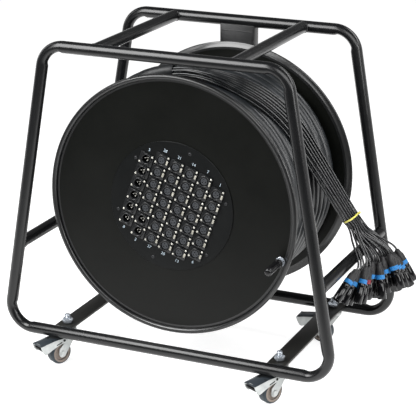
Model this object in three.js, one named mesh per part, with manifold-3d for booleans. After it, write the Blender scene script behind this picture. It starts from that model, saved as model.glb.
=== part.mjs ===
// A stage multicore cable drum: a tube trolley on four braked castors carries a drum that turns on a
// fixed spindle. The drum holds the wound multicore and a round panel of connectors, and the cable's
// tails run over the winding, through a tie and over the side tube, where their plugs hang.
// Millimetres, +Z up. The drum's axis lies along Y and the panel faces -Y. The origin is on the floor
// under the middle of the trolley's length and width, with the front pedals and the spindle's end
// counted in its length. Planes along Y are measured from halfway between the two tube loops.

import * as THREE from "three";
import { mergeVertices } from "three/addons/utils/BufferGeometryUtils.js";
import Module from "manifold-3d";

const wasm = await Module();
wasm.setup();

// Clearances and cuts
const touchGap = 0.3;
const weldGap = 0.3;
const runningGap = 0.3;
const cutOverrun = 2;

// Trolley frame
const tubeDiameter = 25;
const loopSpacing = 386;
const loopBottomWidth = 735;
const loopTopWidth = 520;
const bottomTubeHeight = 76.5;
const topTubeHeight = 694.5;
const loopBendRadius = 50;
const topCrossInset = 111;
const sideCrossHeight = 262.5;
const castorBarInset = 124.5;
const castorBarWidth = 40;
const castorBarThickness = 5;
const castorBarTopRise = 8;
const uprightWidth = 80;
const uprightDepth = 24;
const uprightWall = 4;

// Spindle and its nuts
const drumAxisHeight = 378;
const spindleDiameter = 30;
const spindleFrontEnd = 20;
const spindleStudDiameter = 20;
const spindleStudLength = 23;
const spindleCollarDiameter = 40;
const spindleNutAcrossFlats = 30;
const spindleNutThickness = 16;
const spindleThreadDiameter = 24;
const endNutAcrossFlats = 36;
const endNutThickness = 8;

// Castors, in the frame of their own stem, trailing along +X before they are turned
const stemInset = 32.5;
const stemDiameter = 10;
const stemEndRise = 16.5;
const stemNutAcrossFlats = 17;
const stemNutThickness = 8;
const raceDiameter = 30;
const raceThickness = 3.2;
const rivetHeadDiameter = 17;
const rivetHeadThickness = 2.5;
const wheelDiameter = 50;
const wheelWidth = 22;
const wheelTreadRound = 4;
const castorTrail = 24;
const axleDiameter = 8;
const axleHeadDiameter = 13;
const axleHeadThickness = 2.5;
const forkHeadDiameter = 38;
const forkHeadThickness = 7.5;
const forkCheekGap = 1.2;
const forkCheekThickness = 2.5;
const forkCheekTopHeight = 70;
const pedalWall = 2;
const pedalWidth = 35;
const pedalStart = 12;
const pedalPlateStart = 20;
const pedalReach = 80;
const pedalTopHeight = 61;
const pedalTipHeight = 50;
const pedalSkirtDepth = 12;
const pedalPinDiameter = 5;
const pedalPinOffset = 11;
const pedalPinHeight = 55;
const brakeShoeStart = 30;
const brakeShoeLength = 14;
const brakeShoeBottom = 55;
const frontCastorHeading = 243.2;
const rearCastorHeading = 180;

// Drum
const flangeThickness = 2.5;
const rimBeadDiameter = 11;
const frontRimPlane = -155;
const rearRimPlane = 172;
const rearFlangeHoleRadius = 36;
const barrelRadius = 144;
const woundDepth = 86;
const flangeMargin = 44;
const barrelWall = 2;
const bearingOuterDiameter = 62;
const bearingWidth = 16;
const bossWall = 6;
const bossLip = 4;
const bossLipRadius = 22;
const hubPlateRadius = 70;
const hubPlateThickness = 5;
const bulkheadPlane = 36;
const bulkheadPlateThickness = 4;
const bulkheadPlateOffset = 8;

// Wound multicore
const cableDiameter = 28;
const woundTurns = 10;
const stepsPerTurn = 14;
const windingSides = 6;
const gapSamples = 8;
const windingStartAngle = 163;

// Connector panel and its connectors
const panelRadius = 136;
const panelThickness = 2;
const panelLap = 10;
const gridTilt = 19.3;
const connectorPitch = 28;
const connectorColumnPitch = 33;
const columnCounts = [6, 7, 7, 7, 7, 6];
const maleCounts = [6, 2, 0, 0, 0, 0];
const connectorFlangeLength = 31;
const connectorFlangeWidth = 26;
const connectorFlangeThickness = 2;
const connectorBodyWidth = 21;
const connectorBodyDepth = 20;
const connectorHoleGap = 0.4;
const maleCupSides = 8;
const maleCupDiameter = 18;
const maleCupDepth = 15;
const malePinDiameter = 2.6;
const malePinLength = 9;
const malePinCircle = 7;
const earthStripWidth = 8;
const earthStripThickness = 1.5;

// Loom from the gland in the barrel's wall to the connectors
const glandAngle = 215;
const glandDiameter = 34;
const glandThickness = 14;
const glandPlane = -60;
const loomDiameter = 24;
const loomSides = 8;
const loomEndRadius = 18;
const loomEndPlane = -124;
const loomRouteShares = [
  [0.26, 0.06],
  [0.44, 0.28],
  [0.87, 0.65],
];

// Crank on the front flange
const crankInset = 21.5;
const crankAngle = -19.4;
const crankStudDiameter = 8;
const crankWasherDiameter = 20;
const crankWasherThickness = 2.5;
const crankHexAcrossFlats = 16;
const crankHexLength = 10;
const crankBackNutThickness = 6;
const gripLength = 58;
const gripDiameter = 17;
const gripCollarDiameter = 19;
const gripCollarLength = 6;
const gripEndWall = 6;
const gripRoundShares = [
  [1, 0.5],
  [0.8, 0.17],
  [0.5, 0],
];
const crankStudReach = 48;

// Breakout of the multicore and the route of its tails. Angles are round the drum, from +X towards
// +Z, and the bunch drifts back along Y as it goes.
const breakoutStartAngle = 156;
const breakoutEndAngle = 103;
const breakoutSunkRise = 6;
const sleeveAngle = 112;
const sleeveDiameter = 30;
const breakoutStepAngle = 5.3;
const bunchDriftPerDegree = -1.06;
const bunchLeavePlane = 10;
const bunchStartWidth = 32;
const bunchStartDepth = 26;
const bunchFlatWidth = 72;
const bunchFlatDepth = 13;
const bunchFlatAngle = 62;
const bunchTieWidth = 48;
const bunchTieDepth = 20;
const bunchStepAngle = 7;
const tieDistance = 199;
const tieTailLength = 5;
const straightDriftShare = 0.19;
const tieWidth = 5;
const tieThickness = 1.4;
const tieLockSize = 8;
const tieLockHeight = 6.4;

// Tails and plugs
const tailDiameter = 5;
const tailColumns = 11;
const tailRows = 3;
const tailCount = 32;
const bunchOfColumns = [4, 4, 3];
const rootThickness = 4;
const tailSides = 6;
const crossingAngle = 48;
const crossingLayer = 5.4;
const crossingSpreadShare = 0.5;
const plugDiameter = 18.8;
const plugShellLength = 40;
const plugBootLength = 36;
const plugBootTipDiameter = 9;
const plugPitch = 19.6;
const plugRowPitch = 19;
const plugOutset = 26.35;
const plugFirstPlane = -46;
const plugRowCounts = [11, 11, 6, 4];
const plugRowStartShares = [0, 1.5, 4, 5.5];
const plugTopHeight = 250;
const plugRowRise = 6;
const plugStagger = 4;
const fanMiddlePlane = 70;
const fanTopShare = 0.9;
const fanEndShare = 1.12;
const fanRowTopShare = 0.6;
const fanRowEndShare = 1.15;

// Facets
const tubeSides = 12;
const bendSteps = 5;
const flangeSides = 32;
const beadSteps = 5;
const straightSteps = 5;
const barrelSides = 28;
const turnedSides = 18;
const smallSides = 12;
const rivetSides = 8;

// Derived places
const tubeRadius = tubeDiameter / 2;
const loopPlane = loopSpacing / 2;
const frameHeight = topTubeHeight - bottomTubeHeight;
const legLeanShare = (loopBottomWidth - loopTopWidth) / 2 / frameHeight;
const topCrossOffset = loopTopWidth / 2 - topCrossInset;
const castorBarOffset = loopBottomWidth / 2 - castorBarInset;
const castorBarTop = bottomTubeHeight + castorBarTopRise;
const castorBarUnderside = castorBarTop - castorBarThickness;
const stemPlane = loopPlane - stemInset;
const uprightFront = loopPlane - uprightDepth / 2;
const rimBeadRadius = rimBeadDiameter / 2;
const frontInner = frontRimPlane + rimBeadRadius;
const frontOuter = frontInner - flangeThickness;
const rearInner = rearRimPlane - rimBeadRadius;
const rearOuter = rearInner + flangeThickness;
const panelBack = frontOuter - touchGap;
const panelFront = panelBack - panelThickness;
const frontFlangeHoleRadius = panelRadius - panelLap;
const windingRadius = barrelRadius + woundDepth;
const flangeRadius = windingRadius + flangeMargin;
const crankRadius = flangeRadius - crankInset;
const breakoutSunkRadius = windingRadius + breakoutSunkRise;
const cableRadius = cableDiameter / 2;
const windingFlat = cableRadius * Math.cos(Math.PI / windingSides);
const bedRadius = Math.hypot(windingRadius + windingFlat, cableDiameter) + touchGap;

const finishes = {
  framePaint: { color: 0x15161a, roughness: 0.35, metalness: 0.3 },
  flangePaint: { color: 0x1d1e1c, roughness: 0.45, metalness: 0.3 },
  panelPaint: { color: 0x181a1b, roughness: 0.5, metalness: 0.3 },
  steel: { color: 0xb9bcc0, roughness: 0.3, metalness: 1 },
  zinc: { color: 0xa9adb2, roughness: 0.35, metalness: 0.9 },
  castBlack: { color: 0x222428, roughness: 0.6, metalness: 0.4 },
  tyre: { color: 0x34383f, roughness: 0.7, metalness: 0 },
  jacket: { color: 0x1a1c20, roughness: 0.45, metalness: 0 },
  blackPlastic: { color: 0x131416, roughness: 0.35, metalness: 0 },
  tie: { color: 0xe0d03a, roughness: 0.4, metalness: 0 },
};

function radians(degrees) {
  return THREE.MathUtils.degToRad(degrees);
}

function lerp(from, to, share) {
  return from + (to - from) * share;
}

// Welded copy of a geometry: shared corners merged, faces without area dropped, faces pointing out.
function welded(geometry) {
  const bare = geometry.clone();
  bare.deleteAttribute("normal");
  bare.deleteAttribute("uv");
  const merged = mergeVertices(bare);
  const places = merged.attributes.position;
  const a = new THREE.Vector3();
  const b = new THREE.Vector3();
  const c = new THREE.Vector3();
  const kept = [];
  let volume = 0;
  for (let face = 0; face < merged.index.count; face += 3) {
    const corners = [0, 1, 2].map((corner) => merged.index.getX(face + corner));
    if (new Set(corners).size === 3) {
      a.fromBufferAttribute(places, corners[0]);
      b.fromBufferAttribute(places, corners[1]);
      c.fromBufferAttribute(places, corners[2]);
      volume += a.dot(b.cross(c));
      kept.push(...corners);
    }
  }
  merged.setIndex(volume < 0 ? kept.reverse() : kept);
  return merged;
}

function solidOf(geometry) {
  const merged = welded(geometry);
  const vertProperties = new Float32Array(merged.attributes.position.array);
  const triVerts = new Uint32Array(merged.index.array);
  return new wasm.Manifold(new wasm.Mesh({ numProp: 3, vertProperties, triVerts }));
}

function geometryOf(solid) {
  const mesh = solid.getMesh();
  const geometry = new THREE.BufferGeometry();
  geometry.setAttribute("position", new THREE.BufferAttribute(mesh.vertProperties, 3));
  geometry.setIndex(Array.from(mesh.triVerts));
  return geometry;
}

function joined(geometries) {
  return geometryOf(geometries.map(solidOf).reduce((whole, piece) => whole.add(piece)));
}

function cutFrom(geometry, tools) {
  return geometryOf(tools.map(solidOf).reduce((whole, tool) => whole.subtract(tool), solidOf(geometry)));
}

// Rods and plates along an axis
function rodY(radius, start, end, sides) {
  const rod = new THREE.CylinderGeometry(radius, radius, Math.abs(end - start), sides);
  rod.rotateY(Math.PI / sides);
  return rod.translate(0, (start + end) / 2, 0);
}

function rodZ(radius, start, end, sides) {
  return rodY(radius, start, end, sides).rotateX(Math.PI / 2);
}

function hexRadius(acrossFlats) {
  return acrossFlats / 2 / Math.cos(Math.PI / 6);
}

// Radius of a faceted bore whose flats clear a shaft by the running gap
function boreRadius(shaftDiameter, sides) {
  return (shaftDiameter / 2 + runningGap) / Math.cos(Math.PI / sides);
}

// A closed profile of [radius, height] points turned round Y
function turned(profile, sides) {
  const points = profile.map(([radius, height]) => new THREE.Vector2(radius, height));
  points.push(points[0].clone());
  return new THREE.LatheGeometry(points, sides);
}

function ring(outerRadius, innerRadius, start, end, sides) {
  const profile = [
    [innerRadius, start],
    [outerRadius, start],
    [outerRadius, end],
    [innerRadius, end],
  ];
  return turned(profile, sides);
}

// A box between two corners
function block(low, high) {
  const size = high.map((value, axis) => value - low[axis]);
  const middle = high.map((value, axis) => (value + low[axis]) / 2);
  return new THREE.BoxGeometry(...size).translate(...middle);
}

// An outline in X and Z given thickness along Y, from front to back
function plateXZ(outline, front, back) {
  const shape = new THREE.Shape(outline.map(([x, z]) => new THREE.Vector2(x, z)));
  const plate = new THREE.ExtrudeGeometry(shape, { depth: back - front, bevelEnabled: false });
  return plate.rotateX(Math.PI / 2).translate(0, back, 0);
}

// A path that gives an extrusion its stations, each with its own across and up directions. The
// directions' lengths scale the section there.
class RailPath extends THREE.Curve {
  constructor(stations) {
    super();
    this.stations = stations;
  }

  getSpacedPoints() {
    return this.stations.map((station) => station.point.clone());
  }

  computeFrenetFrames() {
    return {
      tangents: this.stations.map((station) => station.across.clone().cross(station.up)),
      normals: this.stations.map((station) => station.across),
      binormals: this.stations.map((station) => station.up),
    };
  }
}

function sweep(stations, section) {
  const shape = new THREE.Shape(section.map(([across, up]) => new THREE.Vector2(across, up)));
  const path = new RailPath(stations);
  return new THREE.ExtrudeGeometry(shape, { steps: stations.length - 1, extrudePath: path });
}

function roundSection(sides) {
  return Array.from({ length: sides }, (_, side) => {
    const angle = (side / sides) * 2 * Math.PI;
    return [Math.cos(angle), Math.sin(angle)];
  });
}

// Stations along points with a radius each, their directions kept square to the path
function railAlong(points, radii) {
  const side = new THREE.Vector3();
  return points.map((point, index) => {
    const radius = radii[index];
    const before = points[Math.max(index - 1, 0)];
    const after = points[Math.min(index + 1, points.length - 1)];
    const along = after.clone().sub(before).normalize();
    if (index === 0) {
      side.set(0, 1, 0);
    }
    side.addScaledVector(along, -side.dot(along)).normalize();
    const up = along.clone().cross(side);
    return { point, across: side.clone().multiplyScalar(radius), up: up.multiplyScalar(radius) };
  });
}

function onDrum(radius, angle, plane) {
  const turn = radians(angle);
  return new THREE.Vector3(radius * Math.cos(turn), plane, drumAxisHeight + radius * Math.sin(turn));
}

// The object, and the group that moves its pieces back so that the origin is under its middle
const drumTrolley = new THREE.Group();
const trolley = new THREE.Group();
const frontTurn = radians(frontCastorHeading);
const pedalAhead = pedalReach * Math.abs(Math.sin(frontTurn));
const pedalAside = (pedalWidth / 2) * Math.abs(Math.cos(frontTurn));
const frontReach = stemPlane + pedalAhead + pedalAside;
const rearReach = uprightFront + uprightWall + touchGap + spindleStudLength;
trolley.position.y = (frontReach - rearReach) / 2;
drumTrolley.add(trolley);

function addPiece(name, geometry, finish, parent = trolley) {
  const piece = new THREE.Mesh(welded(geometry), new THREE.MeshStandardMaterial(finishes[finish]));
  piece.name = name;
  parent.add(piece);
  return piece;
}

// Centre line of one bent loop: stations round its four bends, each with its outward direction
function loopStations() {
  const corners = [
    new THREE.Vector2(-loopBottomWidth / 2, bottomTubeHeight),
    new THREE.Vector2(loopBottomWidth / 2, bottomTubeHeight),
    new THREE.Vector2(loopTopWidth / 2, topTubeHeight),
    new THREE.Vector2(-loopTopWidth / 2, topTubeHeight),
  ];
  return corners.flatMap((corner, index) => {
    const into = corner.clone().sub(corners[(index + 3) % 4]).normalize();
    const outOf = corners[(index + 1) % 4].clone().sub(corner).normalize();
    const bend = Math.acos(into.dot(outOf));
    const inward = new THREE.Vector2(-into.y, into.x);
    const start = corner.clone().addScaledVector(into, -loopBendRadius * Math.tan(bend / 2));
    const centre = start.clone().addScaledVector(inward, loopBendRadius);
    return Array.from({ length: bendSteps + 1 }, (_, step) => {
      const outward = inward.clone().negate().rotateAround(new THREE.Vector2(), (bend * step) / bendSteps);
      return { outward, point: centre.clone().addScaledVector(outward, loopBendRadius) };
    });
  });
}

// A closed loop of tube: a torus laid along the loop's stations
function loopTube(radius, plane) {
  const stations = loopStations();
  const torus = new THREE.TorusGeometry(1, 0.5, tubeSides, stations.length);
  const places = torus.attributes.position;
  for (let row = 0; row <= tubeSides; row += 1) {
    const turn = (row / tubeSides) * 2 * Math.PI;
    const out = radius * Math.cos(turn);
    const y = plane - radius * Math.sin(turn);
    for (let column = 0; column <= stations.length; column += 1) {
      const { point, outward } = stations[column % stations.length];
      const index = row * (stations.length + 1) + column;
      places.setXYZ(index, point.x + outward.x * out, y, point.y + outward.y * out);
    }
  }
  return torus;
}

function legOffset(height) {
  return loopTopWidth / 2 + legLeanShare * (topTubeHeight - height);
}

// Loops with the weld gap round them, which cope the ends of what is welded between them
const copingLoops = [-loopPlane, loopPlane].map((plane) => loopTube(tubeRadius + weldGap, plane));

function buildFrame() {
  addPiece("front_loop", loopTube(tubeRadius, -loopPlane), "framePaint");
  addPiece("rear_loop", loopTube(tubeRadius, loopPlane), "framePaint");
  for (const [side, name] of [[-1, "left"], [1, "right"]]) {
    const crossTube = rodY(tubeRadius, -loopPlane, loopPlane, tubeSides);
    const topTube = crossTube.clone().translate(side * topCrossOffset, 0, topTubeHeight);
    addPiece(`top_cross_tube_${name}`, cutFrom(topTube, copingLoops), "framePaint");
    const sideTube = crossTube.clone().translate(side * legOffset(sideCrossHeight), 0, sideCrossHeight);
    addPiece(`side_cross_tube_${name}`, cutFrom(sideTube, copingLoops), "framePaint");
    addPiece(`castor_bar_${name}`, castorBar(side * castorBarOffset), "framePaint");
  }
  addPiece("rear_upright", rearUpright(), "framePaint");
}

function castorBar(offset) {
  const halfWidth = castorBarWidth / 2;
  const bar = block(
    [offset - halfWidth, -loopPlane, castorBarUnderside],
    [offset + halfWidth, loopPlane, castorBarTop],
  );
  const holes = [-stemPlane, stemPlane].map((plane) => {
    const radius = stemDiameter / 2 + touchGap;
    const hole = rodZ(radius, castorBarUnderside - cutOverrun, castorBarTop + cutOverrun, smallSides);
    return hole.translate(offset, plane, 0);
  });
  return cutFrom(bar, [...copingLoops, ...holes]);
}

// A channel between the rear loop's two cross runs, its web to the front and open to the rear
function rearUpright() {
  const half = uprightWidth / 2;
  const back = uprightFront + uprightDepth;
  const channel = block([-half, uprightFront, bottomTubeHeight], [half, back, topTubeHeight]);
  const hollow = block(
    [uprightWall - half, uprightFront + uprightWall, bottomTubeHeight - cutOverrun],
    [half - uprightWall, back + cutOverrun, topTubeHeight + cutOverrun],
  );
  const holeRadius = spindleStudDiameter / 2 + touchGap;
  const holeEnds = [uprightFront - cutOverrun, uprightFront + uprightWall + cutOverrun];
  const hole = rodY(holeRadius, ...holeEnds, smallSides);
  return cutFrom(channel, [hollow, copingLoops[1], hole.translate(0, 0, drumAxisHeight)]);
}

// Castor pieces, built round the stem's axis with the wheel trailing along +X
const forkInside = wheelWidth / 2 + forkCheekGap;
const forkOutside = forkInside + forkCheekThickness;
const raceTop = castorBarUnderside - touchGap;
const raceBottom = raceTop - raceThickness;
const forkHeadTop = raceBottom - touchGap;
const forkHeadBottom = forkHeadTop - forkHeadThickness;
const stemNutBottom = castorBarTop + touchGap;
const wheelRadius = wheelDiameter / 2;

function castorStem() {
  const rivetTop = forkHeadBottom - touchGap;
  return joined([
    rodZ(stemDiameter / 2, rivetTop - rivetHeadThickness, castorBarTop + stemEndRise, smallSides),
    rodZ(hexRadius(stemNutAcrossFlats), stemNutBottom, stemNutBottom + stemNutThickness, 6),
    rodZ(raceDiameter / 2, raceBottom, raceTop, smallSides),
    rodZ(rivetHeadDiameter / 2, rivetTop - rivetHeadThickness, rivetTop, rivetSides),
  ]);
}

// Cheek outline: from the head down to the axle's boss
function forkCheek(front, back) {
  const eyeRadius = axleHeadDiameter / 2 + forkCheekThickness;
  const headChord = Math.sqrt((forkHeadDiameter / 2) ** 2 - forkOutside ** 2);
  const outline = [
    [-headChord, forkHeadBottom - forkHeadThickness],
    [castorTrail - eyeRadius, wheelRadius - eyeRadius / 2],
    [castorTrail - eyeRadius / 2, wheelRadius - eyeRadius],
    [castorTrail + eyeRadius / 2, wheelRadius - eyeRadius],
    [castorTrail + eyeRadius, wheelRadius - eyeRadius / 2],
    [castorTrail + eyeRadius, wheelRadius + eyeRadius],
    [headChord, forkHeadBottom - forkHeadThickness],
    [headChord, forkCheekTopHeight],
    [-headChord, forkCheekTopHeight],
  ];
  return plateXZ(outline, front, back);
}

function castorFork() {
  const headRadius = forkHeadDiameter / 2;
  const boreEnds = [forkHeadBottom - cutOverrun, forkHeadTop + cutOverrun];
  const bore = rodZ(boreRadius(stemDiameter, smallSides), ...boreEnds, smallSides);
  const axle = rodY(axleDiameter / 2, -forkOutside, forkOutside, rivetSides);
  const heads = [-1, 1].map((side) => {
    const ends = [side * forkInside, side * (forkOutside + axleHeadThickness)];
    return rodY(axleHeadDiameter / 2, Math.min(...ends), Math.max(...ends), rivetSides);
  });
  const fork = joined([
    rodZ(headRadius, forkHeadBottom, forkHeadTop, smallSides),
    forkCheek(forkInside, forkOutside),
    forkCheek(-forkOutside, -forkInside),
    ...[axle, ...heads].map((rod) => rod.translate(castorTrail, 0, wheelRadius)),
  ]);
  const pinHoleEnd = forkOutside + cutOverrun;
  const pinHole = rodY(boreRadius(pedalPinDiameter, rivetSides), -pinHoleEnd, pinHoleEnd, rivetSides);
  return cutFrom(fork, [bore, pinHole.translate(pedalPinOffset, 0, pedalPinHeight)]);
}

function castorWheel() {
  const half = wheelWidth / 2;
  const bore = boreRadius(axleDiameter, turnedSides);
  const profile = [
    [bore, -half],
    [wheelRadius - wheelTreadRound, -half],
    [wheelRadius, wheelTreadRound - half],
    [wheelRadius, half - wheelTreadRound],
    [wheelRadius - wheelTreadRound, half],
    [bore, half],
  ];
  return turned(profile, turnedSides).translate(castorTrail, 0, wheelRadius);
}

// Brake pedal: a folded cap hinged on a pin through the cheeks, with a shoe over the tread
function castorPedal() {
  const half = pedalWidth / 2;
  const side = [
    [pedalStart - pedalSkirtDepth, pedalTopHeight - pedalSkirtDepth],
    [pedalStart + pedalSkirtDepth, pedalTopHeight - pedalSkirtDepth],
    [pedalReach, pedalTipHeight - pedalSkirtDepth],
    [pedalReach, pedalTipHeight],
    [pedalStart + pedalSkirtDepth, pedalTopHeight],
    [pedalStart - pedalSkirtDepth, pedalTopHeight],
  ];
  const inside = [
    [pedalStart - pedalSkirtDepth - cutOverrun, -cutOverrun],
    [pedalReach - pedalWall, -cutOverrun],
    [pedalReach - pedalWall, pedalTipHeight - pedalWall],
    [pedalStart + pedalSkirtDepth, pedalTopHeight - pedalWall],
    [pedalPlateStart, pedalTopHeight - pedalWall],
    [pedalPlateStart, pedalTopHeight + cutOverrun],
    [pedalStart - pedalSkirtDepth - cutOverrun, pedalTopHeight + cutOverrun],
  ];
  const cap = cutFrom(plateXZ(side, -half, half), [plateXZ(inside, pedalWall - half, half - pedalWall)]);
  const pin = rodY(pedalPinDiameter / 2, pedalWall / 2 - half, half - pedalWall / 2, rivetSides);
  const shoeHalf = wheelWidth / 2;
  const shoe = block(
    [brakeShoeStart, -shoeHalf, brakeShoeBottom],
    [brakeShoeStart + brakeShoeLength, shoeHalf, pedalTopHeight - pedalWall],
  );
  return joined([cap, pin.translate(pedalPinOffset, 0, pedalPinHeight), shoe]);
}

function buildCastors() {
  const corners = [
    ["front_left", -1, -1, frontCastorHeading],
    ["front_right", 1, -1, frontCastorHeading],
    ["rear_left", -1, 1, rearCastorHeading],
    ["rear_right", 1, 1, rearCastorHeading],
  ];
  for (const [name, across, back, heading] of corners) {
    const castor = new THREE.Group();
    castor.position.set(across * castorBarOffset, back * stemPlane, 0);
    castor.rotation.z = radians(heading);
    trolley.add(castor);
    addPiece(`castor_stem_${name}`, castorStem(), "zinc", castor);
    addPiece(`castor_fork_${name}`, castorFork(), "zinc", castor);
    addPiece(`castor_pedal_${name}`, castorPedal(), "castBlack", castor);
    addPiece(`castor_wheel_${name}`, castorWheel(), "tyre", castor);
  }
}

// Everything on the drum's axis is built round Y and lifted to the axis by one group
const drum = new THREE.Group();
drum.position.z = drumAxisHeight;
trolley.add(drum);

const webFront = uprightFront - touchGap;
const webBack = uprightFront + uprightWall + touchGap;
const hubPlateRear = rearInner - touchGap;
const hubPlateFront = hubPlateRear - hubPlateThickness;
const bossRadius = bearingOuterDiameter / 2 + runningGap + bossWall;
const bossBore = bearingOuterDiameter / 2 + runningGap;
const rearBossEnd = rearOuter + bossLip;
const rearBearingEnd = rearBossEnd - touchGap;
const rearBearingStart = rearBearingEnd - bearingWidth;
const rearBossStart = rearBearingStart - runningGap - bossLip;
const frontBearingStart = bulkheadPlane + bossLip;
const frontBearingEnd = frontBearingStart + bearingWidth;

function buildSpindle() {
  const journal = spindleDiameter / 2;
  const spindle = joined([
    rodY(spindleStudDiameter / 2, webFront - cutOverrun, webBack + spindleStudLength, smallSides),
    rodY(spindleCollarDiameter / 2, rearBearingEnd + touchGap, webFront, turnedSides),
    rodY(journal, frontBearingStart, webFront - cutOverrun, turnedSides),
    rodY(spindleThreadDiameter / 2, spindleFrontEnd, frontBearingStart + cutOverrun, turnedSides),
  ]);
  addPiece("spindle", spindle, "steel", drum);
  const rearNut = nut(spindleNutAcrossFlats, spindleStudDiameter, webBack, spindleNutThickness);
  addPiece("spindle_nut", rearNut, "zinc", drum);
  const endNutStart = frontBearingStart - touchGap - endNutThickness;
  const endNut = nut(endNutAcrossFlats, spindleThreadDiameter, endNutStart, endNutThickness);
  addPiece("spindle_end_nut", endNut, "zinc", drum);
}

function nut(acrossFlats, threadDiameter, start, thickness) {
  const blank = rodY(hexRadius(acrossFlats), start, start + thickness, 6);
  const boreEnds = [start - cutOverrun, start + thickness + cutOverrun];
  const bore = rodY(threadDiameter / 2 + touchGap, ...boreEnds, turnedSides);
  return cutFrom(blank, [bore]);
}

// Sheet flange with its edge rolled outwards round a bead; facing is -1 in front and 1 at the rear
function flangeProfile(rimPlane, facing, holeRadius) {
  const inner = rimPlane - facing * rimBeadRadius;
  const outer = inner + facing * flangeThickness;
  const beadCentre = flangeRadius - rimBeadRadius;
  const meeting = Math.PI - Math.asin((rimBeadRadius - flangeThickness) / rimBeadRadius);
  const from = Math.PI / 2;
  const sweepAngle = 2 * Math.PI - (meeting - from);
  const bead = Array.from({ length: beadSteps + 1 }, (_, step) => {
    const angle = from - (sweepAngle * step) / beadSteps;
    return [
      beadCentre + rimBeadRadius * Math.cos(angle),
      rimPlane - facing * rimBeadRadius * Math.sin(angle),
    ];
  });
  return [[holeRadius, inner], ...bead, [holeRadius, outer]];
}

function buildDrumShell() {
  const { x, z } = crankPlace();
  const studHoleEnds = [frontOuter - cutOverrun, frontInner + cutOverrun];
  const studHole = rodY(crankStudDiameter / 2 + touchGap, ...studHoleEnds, smallSides);
  const frontFlange = turned(flangeProfile(frontRimPlane, -1, frontFlangeHoleRadius), flangeSides);
  addPiece("front_flange", cutFrom(frontFlange, [studHole.translate(x, 0, z)]), "flangePaint", drum);
  const rearFlange = turned(flangeProfile(rearRimPlane, 1, rearFlangeHoleRadius), flangeSides);
  addPiece("rear_flange", rearFlange, "flangePaint", drum);
  const barrelInside = barrelRadius - barrelWall;
  const barrel = ring(barrelRadius, barrelInside, frontInner + touchGap, rearInner - touchGap, barrelSides);
  const holeEnds = [barrelInside - cutOverrun, barrelRadius + cutOverrun];
  const glandHole = rodY(glandDiameter / 2 + touchGap, ...holeEnds, smallSides);
  glandHole.rotateZ(-Math.PI / 2).rotateY(-radians(glandAngle)).translate(0, glandPlane, 0);
  addPiece("drum_barrel", cutFrom(barrel, [glandHole]), "flangePaint", drum);
  const hub = [
    [bossLipRadius, rearBossStart],
    [bossRadius - bossWall / 2, rearBossStart],
    [bossRadius - bossWall / 2, hubPlateFront],
    [hubPlateRadius, hubPlateFront],
    [hubPlateRadius, hubPlateRear],
    [rearFlangeHoleRadius - touchGap, hubPlateRear],
    [rearFlangeHoleRadius - touchGap, rearBossEnd],
    [bossBore, rearBossEnd],
    [bossBore, rearBossStart + bossLip],
    [bossLipRadius, rearBossStart + bossLip],
  ];
  addPiece("rear_hub", turned(hub, turnedSides), "castBlack", drum);
  const plateStart = bulkheadPlane + bulkheadPlateOffset;
  const plateRadius = (barrelInside - touchGap) * Math.cos(Math.PI / barrelSides);
  const bulkhead = [
    [bossLipRadius, bulkheadPlane],
    [bossRadius, bulkheadPlane],
    [bossRadius, plateStart],
    [plateRadius, plateStart],
    [plateRadius, plateStart + bulkheadPlateThickness],
    [bossRadius, plateStart + bulkheadPlateThickness],
    [bossRadius, frontBearingEnd + touchGap],
    [bossBore, frontBearingEnd + touchGap],
    [bossBore, frontBearingStart - runningGap],
    [bossLipRadius, frontBearingStart - runningGap],
  ];
  addPiece("bearing_bulkhead", turned(bulkhead, turnedSides), "castBlack", drum);
  const race = [bearingOuterDiameter / 2, boreRadius(spindleDiameter, turnedSides)];
  addPiece("rear_bearing", ring(...race, rearBearingStart, rearBearingEnd, turnedSides), "steel", drum);
  addPiece("front_bearing", ring(...race, frontBearingStart, frontBearingEnd, turnedSides), "steel", drum);
}

// Winding: the inner layers are one plain ring and the outer layer is one unbroken wound tube
const windingRoom = rearInner - frontInner - 2 * touchGap - cableDiameter;
const straightTurns = cableDiameter / (2 * Math.PI * windingRadius);
const windingPitch = windingRoom / (woundTurns + 2 * straightTurns);
const windingFirst = rearInner - touchGap - cableRadius - windingPitch * straightTurns;

function windingStations(radius) {
  const count = woundTurns * stepsPerTurn;
  const stations = Array.from({ length: count + 1 }, (_, step) => {
    const turn = radians(windingStartAngle) - (step / stepsPerTurn) * 2 * Math.PI;
    const out = new THREE.Vector3(Math.cos(turn), 0, Math.sin(turn));
    const point = out.clone().multiplyScalar(windingRadius);
    point.y = windingFirst - (windingPitch * step) / stepsPerTurn;
    return { point, across: new THREE.Vector3(0, radius, 0), up: out.multiplyScalar(radius), turn };
  });
  const straight = ({ point, across, up, turn }, direction) => {
    const along = new THREE.Vector3(Math.sin(turn), 0, -Math.cos(turn));
    along.setY(-windingPitch / (2 * Math.PI * windingRadius));
    return { point: point.clone().addScaledVector(along, direction * cableDiameter), across, up, turn };
  };
  return [straight(stations[0], -1), ...stations, straight(stations[count], 1)];
}

// Least distance from one turn's centre line to the next, less the cable: the gap between turns
function leastTurnGap() {
  const corners = windingStations(cableRadius).map((station) => station.point);
  const shares = Array.from({ length: gapSamples }, (_, sample) => sample / gapSamples);
  const points = corners.slice(1).flatMap((corner, index) => {
    return shares.map((share) => corners[index].clone().lerp(corner, share));
  });
  let least = Infinity;
  points.forEach((point, index) => {
    points.slice(index + (stepsPerTurn * gapSamples) / 2).forEach((other) => {
      least = Math.min(least, point.distanceTo(other));
    });
  });
  return least - cableDiameter;
}

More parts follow.
